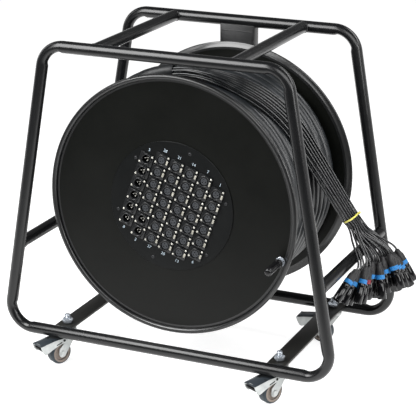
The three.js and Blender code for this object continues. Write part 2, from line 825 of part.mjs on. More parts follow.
function buildWinding() {
  const innerLayers = (windingRadius - cableRadius) * Math.cos(Math.PI / stepsPerTurn) - touchGap;
  const coreEnds = [frontInner + touchGap, rearInner - touchGap];
  const core = ring(innerLayers, barrelRadius + touchGap, ...coreEnds, barrelSides);
  addPiece("winding_core", core, "jacket", drum);
  const winding = sweep(windingStations(cableRadius), roundSection(windingSides));
  addPiece("multicore_winding", winding, "jacket", drum);
  console.log(`least gap between turns: ${leastTurnGap().toFixed(2)} mm`);
}

// Connector panel: a group tilted with the connectors' grid, its columns running down -Z
const panel = new THREE.Group();
panel.rotation.y = radians(gridTilt);
drum.add(panel);

const connectorFlangeBack = panelFront - touchGap;
const connectorFace = connectorFlangeBack - connectorFlangeThickness;
const connectorBack = connectorFlangeBack + connectorBodyDepth;
const columnCount = columnCounts.length;

function connectorPlace(column, row) {
  return {
    x: (column - (columnCount - 1) / 2) * connectorColumnPitch,
    z: ((columnCounts[column] - 1) / 2 - row) * connectorPitch,
  };
}

function connectorBlank() {
  const long = connectorFlangeLength / 2;
  const wide = connectorFlangeWidth / 2;
  const half = connectorBodyWidth / 2;
  const bodyStart = connectorFace + connectorFlangeThickness / 2;
  return [
    block([-long, connectorFace, -wide], [long, connectorFlangeBack, wide]),
    block([-half, bodyStart, -half], [half, connectorBack, half]),
  ];
}

function maleConnector() {
  const cupEnd = connectorFace + maleCupDepth;
  const cup = rodY(maleCupDiameter / 2, connectorFace - cutOverrun, cupEnd, maleCupSides);
  const pins = [0, 1, 2].map((pin) => {
    const angle = Math.PI + (pin / 3) * 2 * Math.PI;
    const post = rodY(malePinDiameter / 2, cupEnd - malePinLength, cupEnd + cutOverrun / 2, 4);
    const out = malePinCircle / 2;
    return post.translate(out * Math.cos(angle), 0, out * Math.sin(angle));
  });
  return joined([cutFrom(joined(connectorBlank()), [cup]), ...pins]);
}

function buildPanel() {
  const holes = columnCounts.flatMap((count, column) => {
    return Array.from({ length: count }, (_, row) => {
      const { x, z } = connectorPlace(column, row);
      const half = connectorBodyWidth / 2 + connectorHoleGap;
      const hole = block([-half, panelFront - cutOverrun, -half], [half, panelBack + cutOverrun, half]);
      return hole.translate(x, 0, z);
    });
  });
  const disc = rodY(panelRadius, panelFront, panelBack, flangeSides);
  addPiece("connector_panel", cutFrom(disc, holes), "panelPaint", panel);

  columnCounts.forEach((count, column) => {
    const females = [];
    for (let row = 0; row < count; row += 1) {
      const { x, z } = connectorPlace(column, row);
      const isMale = row >= count - maleCounts[column];
      if (isMale) {
        const name = `male_connector_${column + 1}_${row + 1}`;
        addPiece(name, maleConnector(), "castBlack", panel).position.set(x, 0, z);
      } else {
        females.push(...connectorBlank().map((piece) => piece.translate(x, 0, z)));
      }
    }
    if (females.length > 0) {
      const first = connectorPlace(column, 0);
      const last = connectorPlace(column, count - maleCounts[column] - 1);
      const halfStrip = earthStripWidth / 2;
      const stripFront = connectorBack - earthStripThickness / 2;
      const strip = block(
        [first.x - halfStrip, stripFront, last.z - halfStrip],
        [first.x + halfStrip, stripFront + earthStripThickness, first.z + halfStrip],
      );
      addPiece(`female_connectors_${column + 1}`, joined([...females, strip]), "castBlack", panel);
    }
  });
}

function buildLoom() {
  const inside = barrelRadius - barrelWall;
  const boreEnd = (inside - touchGap) * Math.cos(Math.PI / barrelSides);
  const routeStart = boreEnd - glandThickness;
  const points = [[0, 0], ...loomRouteShares, [1, 1]].map(([inward, forward]) => {
    const radius = lerp(routeStart, loomEndRadius, inward);
    return new THREE.Vector3(radius, lerp(glandPlane, loomEndPlane, forward), 0);
  });
  points.unshift(new THREE.Vector3(inside, glandPlane, 0));
  const radii = points.map(() => loomDiameter / 2);
  const loom = sweep(railAlong(points, radii), roundSection(loomSides));
  const stub = rodY(glandDiameter / 2, routeStart, inside, smallSides);
  const gland = joined([loom, stub.rotateZ(-Math.PI / 2).translate(0, glandPlane, 0)]);
  addPiece("wiring_loom", gland.rotateY(-radians(glandAngle)), "jacket", drum);
}

function crankPlace() {
  const turn = radians(crankAngle);
  return { x: crankRadius * Math.cos(turn), z: crankRadius * Math.sin(turn) };
}

function buildCrank() {
  const { x, z } = crankPlace();
  const washerBack = frontOuter - touchGap;
  const washerFront = washerBack - crankWasherThickness;
  const hexFront = washerFront - crankHexLength;
  const nutFront = frontInner + touchGap;
  const stud = joined([
    rodY(crankWasherDiameter / 2, washerFront, washerBack, turnedSides),
    rodY(hexRadius(crankHexAcrossFlats), hexFront, washerFront + touchGap, 6),
    rodY(crankStudDiameter / 2, hexFront - crankStudReach, nutFront + crankBackNutThickness, smallSides),
    rodY(hexRadius(crankHexAcrossFlats), nutFront, nutFront + crankBackNutThickness, 6),
  ]);
  addPiece("crank_stud", stud, "zinc", drum).position.set(x, 0, z);
  const start = hexFront - touchGap;
  const end = start - gripLength;
  const bore = boreRadius(crankStudDiameter, smallSides);
  const gripRadius = gripDiameter / 2;
  const grip = [
    [bore, start],
    [gripCollarDiameter / 2, start],
    [gripCollarDiameter / 2, start - gripCollarLength],
    [gripRadius, start - gripCollarLength],
    ...gripRoundShares.map(([out, up]) => [gripRadius * out, end + gripRadius * up]),
    [0, end],
    [0, end + gripEndWall],
    [bore, end + gripEndWall],
  ];
  addPiece("crank_grip", turned(grip, smallSides), "blackPlastic", drum).position.set(x, 0, z);
}

// Breakout: the multicore's end rises out of the outer layer, runs over it and ends in a sleeve
function bunchPlane(angle) {
  return bunchLeavePlane + (angle - leaveAngle) * bunchDriftPerDegree;
}

// Where the bunch leaves the winding for the side tube: the outer common tangent of the two circles
const sideTubeOffset = legOffset(sideCrossHeight);
const leaveRadius = bedRadius + bunchFlatDepth / 2;
const landRadius = tubeRadius + touchGap + bunchTieDepth / 2;
const tubeDistance = Math.hypot(sideTubeOffset, sideCrossHeight - drumAxisHeight);
const tubeBearing = Math.atan2(sideCrossHeight - drumAxisHeight, sideTubeOffset);
const leaveTurn = tubeBearing + Math.acos((leaveRadius - landRadius) / tubeDistance);
const leaveAngle = THREE.MathUtils.radToDeg(leaveTurn);
const straightAlong = new THREE.Vector3(Math.sin(leaveTurn), straightDriftShare, -Math.cos(leaveTurn));
const straightUp = new THREE.Vector3(Math.cos(leaveTurn), 0, Math.sin(leaveTurn));
const leavePoint = onDrum(leaveRadius, leaveAngle, bunchLeavePlane);

function buildBreakout() {
  const count = Math.round((breakoutStartAngle - breakoutEndAngle) / breakoutStepAngle);
  const topRadius = bedRadius + sleeveDiameter / 2;
  const riseAngle = breakoutStartAngle - sleeveAngle;
  const stations = Array.from({ length: count + 1 }, (_, step) => {
    const angle = lerp(breakoutStartAngle, breakoutEndAngle, step / count);
    const rise = THREE.MathUtils.smoothstep(breakoutStartAngle - angle, 0, riseAngle);
    const radius = lerp(breakoutSunkRadius, topRadius, rise);
    const half = angle <= sleeveAngle ? sleeveDiameter / 2 : cableRadius;
    const turn = radians(angle);
    const up = new THREE.Vector3(Math.cos(turn), 0, Math.sin(turn)).multiplyScalar(half);
    return { point: onDrum(radius, angle, bunchPlane(angle)), across: new THREE.Vector3(0, half, 0), up };
  });
  const bed = rodY(bedRadius / Math.cos(Math.PI / barrelSides), frontInner, rearInner, barrelSides);
  const breakout = cutFrom(sweep(stations, roundSection(tubeSides)), [bed.translate(0, 0, drumAxisHeight)]);
  addPiece("multicore_breakout", breakout, "jacket");
}

// The bunch of tails, as wide and deep as it lies on the winding and then in the tie
const bunchSectionShares = [
  [1, 0.4],
  [0.65, 1],
  [-0.65, 1],
  [-1, 0.4],
  [-1, -0.4],
  [-0.65, -1],
  [0.65, -1],
  [1, -0.4],
];

function straightPoint(distance) {
  return leavePoint.clone().addScaledVector(straightAlong, distance);
}

function straightStation(distance) {
  const share = Math.min(distance / tieDistance, 1);
  const width = lerp(bunchFlatWidth, bunchTieWidth, share);
  const depth = lerp(bunchFlatDepth, bunchTieDepth, share);
  const point = straightPoint(distance);
  const across = new THREE.Vector3(0, width / 2, 0);
  return { point, across, up: straightUp.clone().multiplyScalar(depth / 2) };
}

function buildBunch() {
  const endAngle = breakoutEndAngle - radiansToDegreesOf(touchGap * 2, bedRadius);
  const count = Math.round((endAngle - leaveAngle) / bunchStepAngle);
  const wound = Array.from({ length: count }, (_, step) => {
    const angle = lerp(endAngle, leaveAngle, step / count);
    const flat = THREE.MathUtils.smoothstep(endAngle - angle, 0, endAngle - bunchFlatAngle);
    const width = lerp(bunchStartWidth, bunchFlatWidth, flat);
    const depth = lerp(bunchStartDepth, bunchFlatDepth, flat);
    const turn = radians(angle);
    const bed = bedRadius / Math.cos(radians(bunchStepAngle) / 2);
    const up = new THREE.Vector3(Math.cos(turn), 0, Math.sin(turn)).multiplyScalar(depth / 2);
    const point = onDrum(bed + depth / 2, angle, bunchPlane(angle));
    return { point, across: new THREE.Vector3(0, width / 2, 0), up };
  });
  const straight = Array.from({ length: straightSteps + 1 }, (_, step) => {
    return straightStation((tieDistance * step) / straightSteps);
  });
  const end = straightStation(tieDistance + tieTailLength);
  addPiece("tail_bunch", sweep([...wound, ...straight, end], bunchSectionShares), "jacket");
}

function radiansToDegreesOf(length, radius) {
  return THREE.MathUtils.radToDeg(length / radius);
}

function buildTie() {
  const halfWidth = bunchTieWidth / 2 + touchGap;
  const halfDepth = bunchTieDepth / 2 + touchGap;
  const spanOf = (from, to, grow) => {
    const stations = [from, to].map((distance) => ({
      point: straightPoint(distance),
      across: new THREE.Vector3(0, halfWidth + grow, 0),
      up: straightUp.clone().multiplyScalar(halfDepth + grow),
    }));
    return sweep(stations, bunchSectionShares);
  };
  const start = tieDistance - tieWidth / 2;
  const end = tieDistance + tieWidth / 2;
  const inside = spanOf(start - cutOverrun, end + cutOverrun, 0);
  const band = cutFrom(spanOf(start, end, tieThickness), [inside]);
  const lock = new THREE.BoxGeometry(tieLockSize, tieLockSize, tieLockHeight);
  lock.rotateY(Math.PI / 2 - leaveTurn);
  const seat = straightPoint(tieDistance).addScaledVector(straightUp, halfDepth + tieLockSize / 2);
  const held = lock.translate(seat.x, seat.y + bunchTieWidth / 4, seat.z);
  const clear = spanOf(start - tieLockSize, end + tieLockSize, 0);
  addPiece("cable_tie", cutFrom(joined([band, held]), [clear]), "tie");
}

// Plugs hang in rows outside the side tube and fan out from the middle of the bunch
function plugPlaces() {
  const places = [];
  plugRowCounts.forEach((count, row) => {
    for (let index = 0; index < count; index += 1) {
      const plane = plugFirstPlane + (plugRowStartShares[row] + index) * plugPitch;
      const out = row * plugRowPitch;
      const height = plugTopHeight + row * plugRowRise - ((row + index) % 3) * plugStagger;
      const length = plugShellLength + plugBootLength;
      const off = plane - fanMiddlePlane;
      const topX = sideTubeOffset + plugOutset + out * fanRowTopShare;
      const topPoint = new THREE.Vector3(topX, fanMiddlePlane + off * fanTopShare, height);
      const leanOut = out * (fanRowEndShare - fanRowTopShare);
      const lean = new THREE.Vector3(leanOut, off * (fanEndShare - fanTopShare), 0);
      const drop = Math.sqrt(length ** 2 - lean.lengthSq());
      places.push({ top: topPoint, along: lean.setZ(-drop).normalize() });
    }
  });
  return places.sort((a, b) => a.top.y - b.top.y);
}

// Where a column of tails lies across the tie, kept inside its own bunch's share of the width
function rootOffset(column) {
  const pitch = bunchTieWidth / tailColumns;
  let first = 0;
  const columns = bunchOfColumns.find((count) => {
    first += count;
    return column < first;
  });
  first -= columns;
  const inset = tailDiameter / 2 + touchGap * 2;
  const room = columns * pitch - 2 * inset;
  return -bunchTieWidth / 2 + first * pitch + inset + (room * (column - first)) / (columns - 1);
}

// Each tail's place in the tie: columns along Y in steps of rows from the bed outwards
function tailPlaces() {
  const places = plugPlaces();
  const ordered = [];
  for (let column = 0; column < tailColumns; column += 1) {
    const share = places.slice(column * tailRows, (column + 1) * tailRows);
    const columnPlane = share.reduce((sum, place) => sum + place.top.y, 0) / share.length;
    share.sort((a, b) => a.top.x - b.top.x);
    share.forEach((place, row) => ordered.push({ ...place, column, row, columnPlane }));
  }
  return ordered.slice(0, tailCount);
}

// The plug's sections as [distance from the boot's tip, radius]
const plugSections = [
  [0, plugBootTipDiameter / 2],
  [plugBootLength, plugDiameter / 2],
  [plugBootLength + plugShellLength, plugDiameter / 2],
];

function tailPoints({ top, along, column, row, columnPlane }) {
  const upShare = row - (tailRows - 1) / 2;
  const root = straightPoint(tieDistance + tieTailLength + rootThickness);
  root.y += rootOffset(column);
  root.addScaledVector(straightUp, (upShare * (bunchTieDepth - tailDiameter * 2)) / 2);
  const crossing = radians(crossingAngle);
  const crossRadius = tubeRadius + touchGap + tailDiameter / 2 + row * crossingLayer;
  const over = new THREE.Vector3(
    sideTubeOffset + crossRadius * Math.cos(crossing),
    lerp(root.y, columnPlane, crossingSpreadShare),
    sideCrossHeight + crossRadius * Math.sin(crossing),
  );
  const entry = top.clone().addScaledVector(along, -tailDiameter * 2);
  return [root, over, entry, top];
}

function tailAndPlug(tail) {
  const route = tailPoints(tail);
  const plugPoints = plugSections.map(([distance]) => {
    return tail.top.clone().addScaledVector(tail.along, distance);
  });
  const radii = [...route.map(() => tailDiameter / 2), ...plugSections.map(([, radius]) => radius)];
  return sweep(railAlong([...route, ...plugPoints], radii), roundSection(tailSides));
}

function buildPlugs() {
  const tails = tailPlaces();
  let firstColumn = 0;
  bunchOfColumns.forEach((columns, bunch) => {
    const endColumn = firstColumn + columns;
    const members = tails.filter(({ column }) => column >= firstColumn && column < endColumn);
    const pieces = [bunchRoot(firstColumn, columns), ...members.map(tailAndPlug)];
    addPiece(`plug_bunch_${bunch + 1}`, joined(pieces), "blackPlastic");
    firstColumn = endColumn;
  });
}

// The tails' first few millimetres past the tie, where one bunch's tails still lie together
function bunchRoot(firstColumn, columns) {
  const pitch = bunchTieWidth / tailColumns;
  const from = -bunchTieWidth / 2 + firstColumn * pitch + touchGap / 2;
  const to = -bunchTieWidth / 2 + (firstColumn + columns) * pitch - touchGap / 2;
  const start = tieDistance + tieTailLength + touchGap;
  const stations = [start, start + rootThickness + tailDiameter / 2].map((distance) => ({
    point: straightPoint(distance).add(new THREE.Vector3(0, (from + to) / 2, 0)),
    across: new THREE.Vector3(0, (to - from) / 2, 0),
    up: straightUp.clone().multiplyScalar(bunchTieDepth / 2),
  }));
  return sweep(stations, [[1, 1], [-1, 1], [-1, -1], [1, -1]]);
}

buildFrame();
buildCastors();
buildSpindle();
buildDrumShell();
buildWinding();
buildPanel();
buildLoom();
buildCrank();
buildBreakout();
buildBunch();
buildTie();
buildPlugs();

export default drumTrolley;
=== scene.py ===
import math

import bpy
from mathutils import Matrix, Vector


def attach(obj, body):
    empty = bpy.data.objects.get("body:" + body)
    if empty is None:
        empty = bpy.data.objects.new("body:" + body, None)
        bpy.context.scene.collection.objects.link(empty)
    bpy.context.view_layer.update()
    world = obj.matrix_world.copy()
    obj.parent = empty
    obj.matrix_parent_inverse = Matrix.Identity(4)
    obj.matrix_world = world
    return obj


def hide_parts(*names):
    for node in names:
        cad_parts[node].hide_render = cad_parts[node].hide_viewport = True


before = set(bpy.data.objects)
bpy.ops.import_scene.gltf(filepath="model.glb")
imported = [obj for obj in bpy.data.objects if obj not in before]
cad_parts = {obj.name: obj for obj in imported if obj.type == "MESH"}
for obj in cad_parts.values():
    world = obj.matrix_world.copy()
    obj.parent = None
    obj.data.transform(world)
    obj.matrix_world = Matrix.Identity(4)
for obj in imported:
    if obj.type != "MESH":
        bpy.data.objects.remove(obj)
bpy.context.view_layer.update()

mm = 0.001
setBack = 15.75  # planes along Y are given from midway between the two loops, in millimetres
axisHeight = 378


def placed(point):  # from millimetres to metres, with the set-back
    return Vector((point.x, point.y + setBack, point.z)) * mm


def spot(x, plane, z):
    return placed(Vector((x, plane, z)))


def around(radius, angle, plane):  # a point round the drum, from +X towards +Z
    turn = math.radians(angle)
    return Vector((radius * math.cos(turn), plane, axisHeight + radius * math.sin(turn)))


def roundTurn(count):  # angles spread evenly round a circle
    return [2 * math.pi * index / count for index in range(count)]


def mix(start, end, share):
    return start + (end - start) * share


def ease(value, start, end):
    share = min(max((value - start) / (end - start), 0), 1)
    return share * share * (3 - 2 * share)


def aimed(back, across):  # the turn of a camera or lamp whose back points this way
    return Matrix((across, back.cross(across), back)).transposed().to_euler()


# camera
def addCamera():
    shot = {"place": (1.3219, -2.93845, 1.4005), "azimuth": 23.894, "height": 18.337, "roll": 0.116, "lens": 139.35}
    azimuth, height, roll = (math.radians(shot[key]) for key in ("azimuth", "height", "roll"))
    back = Vector((math.sin(azimuth) * math.cos(height), -math.cos(azimuth) * math.cos(height), math.sin(height)))
    right = Vector((math.cos(azimuth), math.sin(azimuth), 0))
    bpy.ops.object.camera_add(location=shot["place"])
    camera = bpy.context.object
    camera.rotation_euler = aimed(back, right * math.cos(roll) + back.cross(right) * math.sin(roll))
    camera.data.lens = shot["lens"]
    camera.data.sensor_width = 36
    bpy.context.scene.camera = camera


# modelling helpers
def deselectAll():
    if bpy.context.object and bpy.context.object.mode != "OBJECT":
        bpy.ops.object.mode_set(mode="OBJECT")
    bpy.ops.object.select_all(action="DESELECT")


def pick(*pieces):
    deselectAll()
    for piece in pieces:
        piece.select_set(True)
    bpy.context.view_layer.objects.active = pieces[0]


def editAll():
    bpy.ops.object.mode_set(mode="EDIT")
    bpy.ops.mesh.select_all(action="SELECT")


def tidyMesh():  # in edit mode, which it leaves
    bpy.ops.mesh.select_all(action="SELECT")
    bpy.ops.mesh.remove_doubles(threshold=1e-6)
    bpy.ops.mesh.delete_loose(use_verts=True, use_edges=True, use_faces=False)
    bpy.ops.mesh.select_all(action="SELECT")
    bpy.ops.mesh.normals_make_consistent(inside=False)
    bpy.ops.object.mode_set(mode="OBJECT")


def applyModifiers(piece):
    pick(piece)
    for modifier in list(piece.modifiers):
        bpy.ops.object.modifier_apply(modifier=modifier.name)


def smooth(piece, angle=40):
    pick(piece)
    bpy.ops.object.shade_smooth_by_angle(angle=math.radians(angle))


def joinAll(name, pieces):
    pick(*pieces)
    if len(pieces) > 1:
        bpy.ops.object.join()
    pieces[0].name = name
    pieces[0].data.name = name
    return pieces[0]


def copyOf(piece, move):
    twin = piece.copy()
    twin.data = piece.data.copy()
    bpy.context.collection.objects.link(twin)
    twin.data.transform(move)
    return twin


def paint(piece, finish):
    piece.data.materials.clear()
    piece.data.materials.append(finishes[finish])


def finishPiece(piece, finish, body, slotName, *nodes):
    paint(piece, finish)
    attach(piece, body)
    if nodes:
        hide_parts(*nodes)
    return piece


def outlineOf(name, points):  # a closed ring of points in millimetres, left in edit mode
    deselectAll()
    bpy.ops.mesh.primitive_circle_add(vertices=len(points), radius=0.01)
    piece = bpy.context.object
    piece.name = name
    for vertex, point in zip(piece.data.vertices, points):
        vertex.co = Vector(point) * mm
    editAll()
    return piece


def turnOnAxis(name, profile, steps, angle=40):  # radius and plane of each point, turned round Y
    piece = outlineOf(name, [(radius, plane, 0) for radius, plane in profile])
    bpy.ops.mesh.spin(steps=steps, angle=2 * math.pi, center=(0, 0, 0), axis=(0, 1, 0))
    tidyMesh()
    smooth(piece, angle)
    return piece


def rodAlongY(name, radius, start, end, steps, edge=0):
    profile = [(0, start), (radius, start), (radius, end), (0, end)]
    if edge:
        profile[1:3] = [(radius - edge, start), (radius, start + edge), (radius, end - edge), (radius - edge, end)]
    return turnOnAxis(name, profile, steps)


def moved(piece, x, y, z):  # millimetres
    piece.data.transform(Matrix.Translation(Vector((x, y, z)) * mm))
    return piece


def tipped(piece, angle):  # what was turned round Y stands up at 90 and hangs at -90
    piece.data.transform(Matrix.Rotation(math.radians(angle), 4, "X"))
    return piece


def pressOut(name, outline, along, edge=0):  # an outline filled and extruded, its edges rounded
    sharp = 35
    piece = outlineOf(name, outline)
    bpy.ops.mesh.edge_face_add()
    bpy.ops.mesh.extrude_region_move(TRANSFORM_OT_translate={"value": Vector(along) * mm})
    tidyMesh()
    if edge:
        bevel = piece.modifiers.new("edges", "BEVEL")
        bevel.width = edge * mm
        bevel.segments = 2
        bevel.limit_method = "ANGLE"
        bevel.angle_limit = math.radians(sharp)
        applyModifiers(piece)
    smooth(piece, sharp)
    return piece


def pressAlongY(name, outline, front, depth, edge=0):  # from an outline of x and z
    return pressOut(name, [(x, front, z) for x, z in outline], (0, depth, 0), edge)


def oblong(left, right, low, high):
    return [(left, low), (right, low), (right, high), (left, high)]


def loft(name, rings, angle=40, closed=True):
    # a grid laid round rings of as many points each, in millimetres, its seam and its ends closed
    deselectAll()
    count = len(rings[0])
    bpy.ops.mesh.primitive_grid_add(x_subdivisions=count, y_subdivisions=len(rings) - 1, size=0.01)
    piece = bpy.context.object
    piece.name = name
    for row, ring in enumerate(rings):
        for column in range(count + 1):
            piece.data.vertices[row * (count + 1) + column].co = Vector(ring[column % count]) * mm
    editAll()
    bpy.ops.mesh.remove_doubles(threshold=1e-6)
    if closed:
        bpy.ops.mesh.select_all(action="DESELECT")
        bpy.ops.mesh.select_non_manifold()
        bpy.ops.mesh.fill_holes(sides=0)
    tidyMesh()
    smooth(piece, angle)
    return piece


def tubeAlong(name, points, radius, cyclic=False, sides=12, kind="POLY", fineness=1):
    # a round tube along points in metres, left as a curve
    curve = bpy.data.curves.new(name, "CURVE")
    curve.dimensions = "3D"
    curve.resolution_u = fineness
    curve.render_resolution_u = 0
    curve.bevel_depth = radius * mm
    curve.bevel_resolution = (sides - 4) // 2
    curve.use_fill_caps = not cyclic
    spline = curve.splines.new(kind)
    if kind == "BEZIER":
        spline.bezier_points.add(len(points) - 1)
        for knot, point in zip(spline.bezier_points, points):
            knot.co = point
            knot.handle_left_type = knot.handle_right_type = "AUTO"
    else:
        spline.points.add(len(points) - 1)
        for knot, point in zip(spline.points, points):
            knot.co = (*point, 1)
    spline.use_cyclic_u = cyclic
    spline.use_smooth = True
    piece = bpy.data.objects.new(name, curve)
    bpy.context.collection.objects.link(piece)
    return piece


def meshed(piece):
    pick(piece)
    bpy.ops.object.convert(target="MESH")
    piece = bpy.context.object
    smooth(piece, 60)
    return piece


def hexNut(name, across, start, thickness, bore):
    # a nut round Y: a hexagon whose corners are turned off at both faces
    half, cut, end = across / 2, across * 0.09, start + thickness

    def ring(plane, radius=None):  # the hexagon where there is no radius
        points = []
        for turn in roundTurn(36):
            reach = radius or half / math.cos((turn + math.pi / 6) % (math.pi / 3) - math.pi / 6)
            points.append((reach * math.cos(turn), plane, reach * math.sin(turn)))
        return points

    lower = [ring(start, bore), ring(start, half * 0.97), ring(start + cut)]
    return loft(name, lower + [ring(end - cut), ring(end, half * 0.97), ring(end, bore)], 25)


# materials
class Wire:  # a node's output that can be added, multiplied and so on
    def __init__(self, shading, socket):
        self.shading = shading
        self.socket = socket

    def maths(self, operation, first, second):
        return self.shading.maths(operation, first, second)

    def __add__(self, other):
        return self.maths("ADD", self, other)

    def __radd__(self, other):
        return self.maths("ADD", other, self)

    def __sub__(self, other):
        return self.maths("SUBTRACT", self, other)

    def __rsub__(self, other):
        return self.maths("SUBTRACT", other, self)

    def __mul__(self, other):
        return self.maths("MULTIPLY", self, other)

    def __rmul__(self, other):
        return self.maths("MULTIPLY", other, self)


class Shading:  # a node tree under construction
    def __init__(self, tree):
        self.tree = tree

    def add(self, kind, settings, sockets, output=0):
        node = self.tree.nodes.new(kind)
        for key, value in settings.items():
            setattr(node, key, value)
        for key, value in sockets.items():
            self.feed(node.inputs[key], value)
        return Wire(self, node.outputs[output])

    def feed(self, socket, value):
        if isinstance(value, Wire):
            self.tree.links.new(value.socket, socket)
        else:
            socket.default_value = value

    def maths(self, operation, first, second):
        return self.add("ShaderNodeMath", {"operation": operation}, {0: first, 1: second})

    def ray(self, kind):
        return self.add("ShaderNodeLightPath", {}, {}, kind)

    def part(self, vector, axis):
        return self.add("ShaderNodeSeparateXYZ", {}, {0: vector}, axis)

    def spread(self, value, low, high, start=0.0, end=1.0):
        sockets = {"Value": value, "From Min": low, "From Max": high, "To Min": start, "To Max": end}
        return self.add("ShaderNodeMapRange", {}, sockets)


class Finish(Shading):  # a material
    def __init__(self, name, **constants):
        self.material = bpy.data.materials.new(name)
        self.material.use_nodes = True
        super().__init__(self.material.node_tree)
        self.shader = self.tree.nodes["Principled BSDF"]
        for key, value in constants.items():
            self.shader.inputs[key.replace("_", " ")].default_value = value
        self.coords = self.add("ShaderNodeTexCoord", {}, {}, "Object")

    def noise(self, scale, detail=2, roughness=0.5, coords=None):
        sockets = {"Vector": coords or self.coords, "Scale": scale, "Detail": detail, "Roughness": roughness}
        return self.add("ShaderNodeTexNoise", {}, sockets)

    def stretched(self, scale):
        return self.add("ShaderNodeMapping", {}, {"Vector": self.coords, "Scale": scale})

    def blend(self, share, first, second):
        return self.add("ShaderNodeMix", {"data_type": "RGBA"}, {0: share, 6: (*first, 1), 7: (*second, 1)}, 2)

    def bump(self, height, strength, distance):
        return self.add("ShaderNodeBump", {}, {"Height": height, "Strength": strength, "Distance": distance})

    def into(self, **links):
        for key, wire in links.items():
            self.feed(self.shader.inputs[key.replace("_", " ")], wire)
        return self.material


def powderCoat(name, colour, wearAndPaintedShade, rough, orangePeel, specular):
    finish = Finish(name, Specular_IOR_Level=specular)
    cloud = finish.noise(9, 4, 0.6)
    fine = finish.noise(380, 2, 0.4)
    dust = finish.noise(60, 5, 0.7)
    shade = finish.spread(cloud + dust * 0.5, 0.55, 0.95)
    return finish.into(
        Base_Color=finish.blend(shade, colour, wearAndPaintedShade),
        Roughness=rough + (cloud - 0.5) * 0.12 + (dust - 0.5) * 0.06,
        Normal=finish.bump(fine, orangePeel, 0.0003),
    )


def plated(name, colour, stain, rough, metallic=1.0):
    finish = Finish(name, Metallic=metallic)
    cloud = finish.noise(70, 4, 0.6)
    brush = finish.noise(18, 3, 0.6, finish.stretched((1, 1, 30)))
    shade = finish.spread(cloud, 0.35, 0.75)
    return finish.into(
        Base_Color=finish.blend(shade, colour, stain),
        Roughness=rough + (cloud - 0.5) * 0.2 + (brush - 0.5) * 0.12,
        Normal=finish.bump(brush, 0.05, 0.0003),
    )


def moulded(name, colour, lighter, rough, grain, depth, specular=0.5, coat=0.0):
    finish = Finish(name, Specular_IOR_Level=specular, Coat_Weight=coat, Coat_Roughness=0.08)
    cloud = finish.noise(25, 3, 0.6)
    fine = finish.noise(grain, 3, 0.6)
    return finish.into(
        Base_Color=finish.blend(finish.spread(cloud, 0.35, 0.7), colour, lighter),
        Roughness=rough + (cloud - 0.5) * 0.1 + (fine - 0.5) * 0.08,
        Normal=finish.bump(fine, depth, 0.0004),
    )


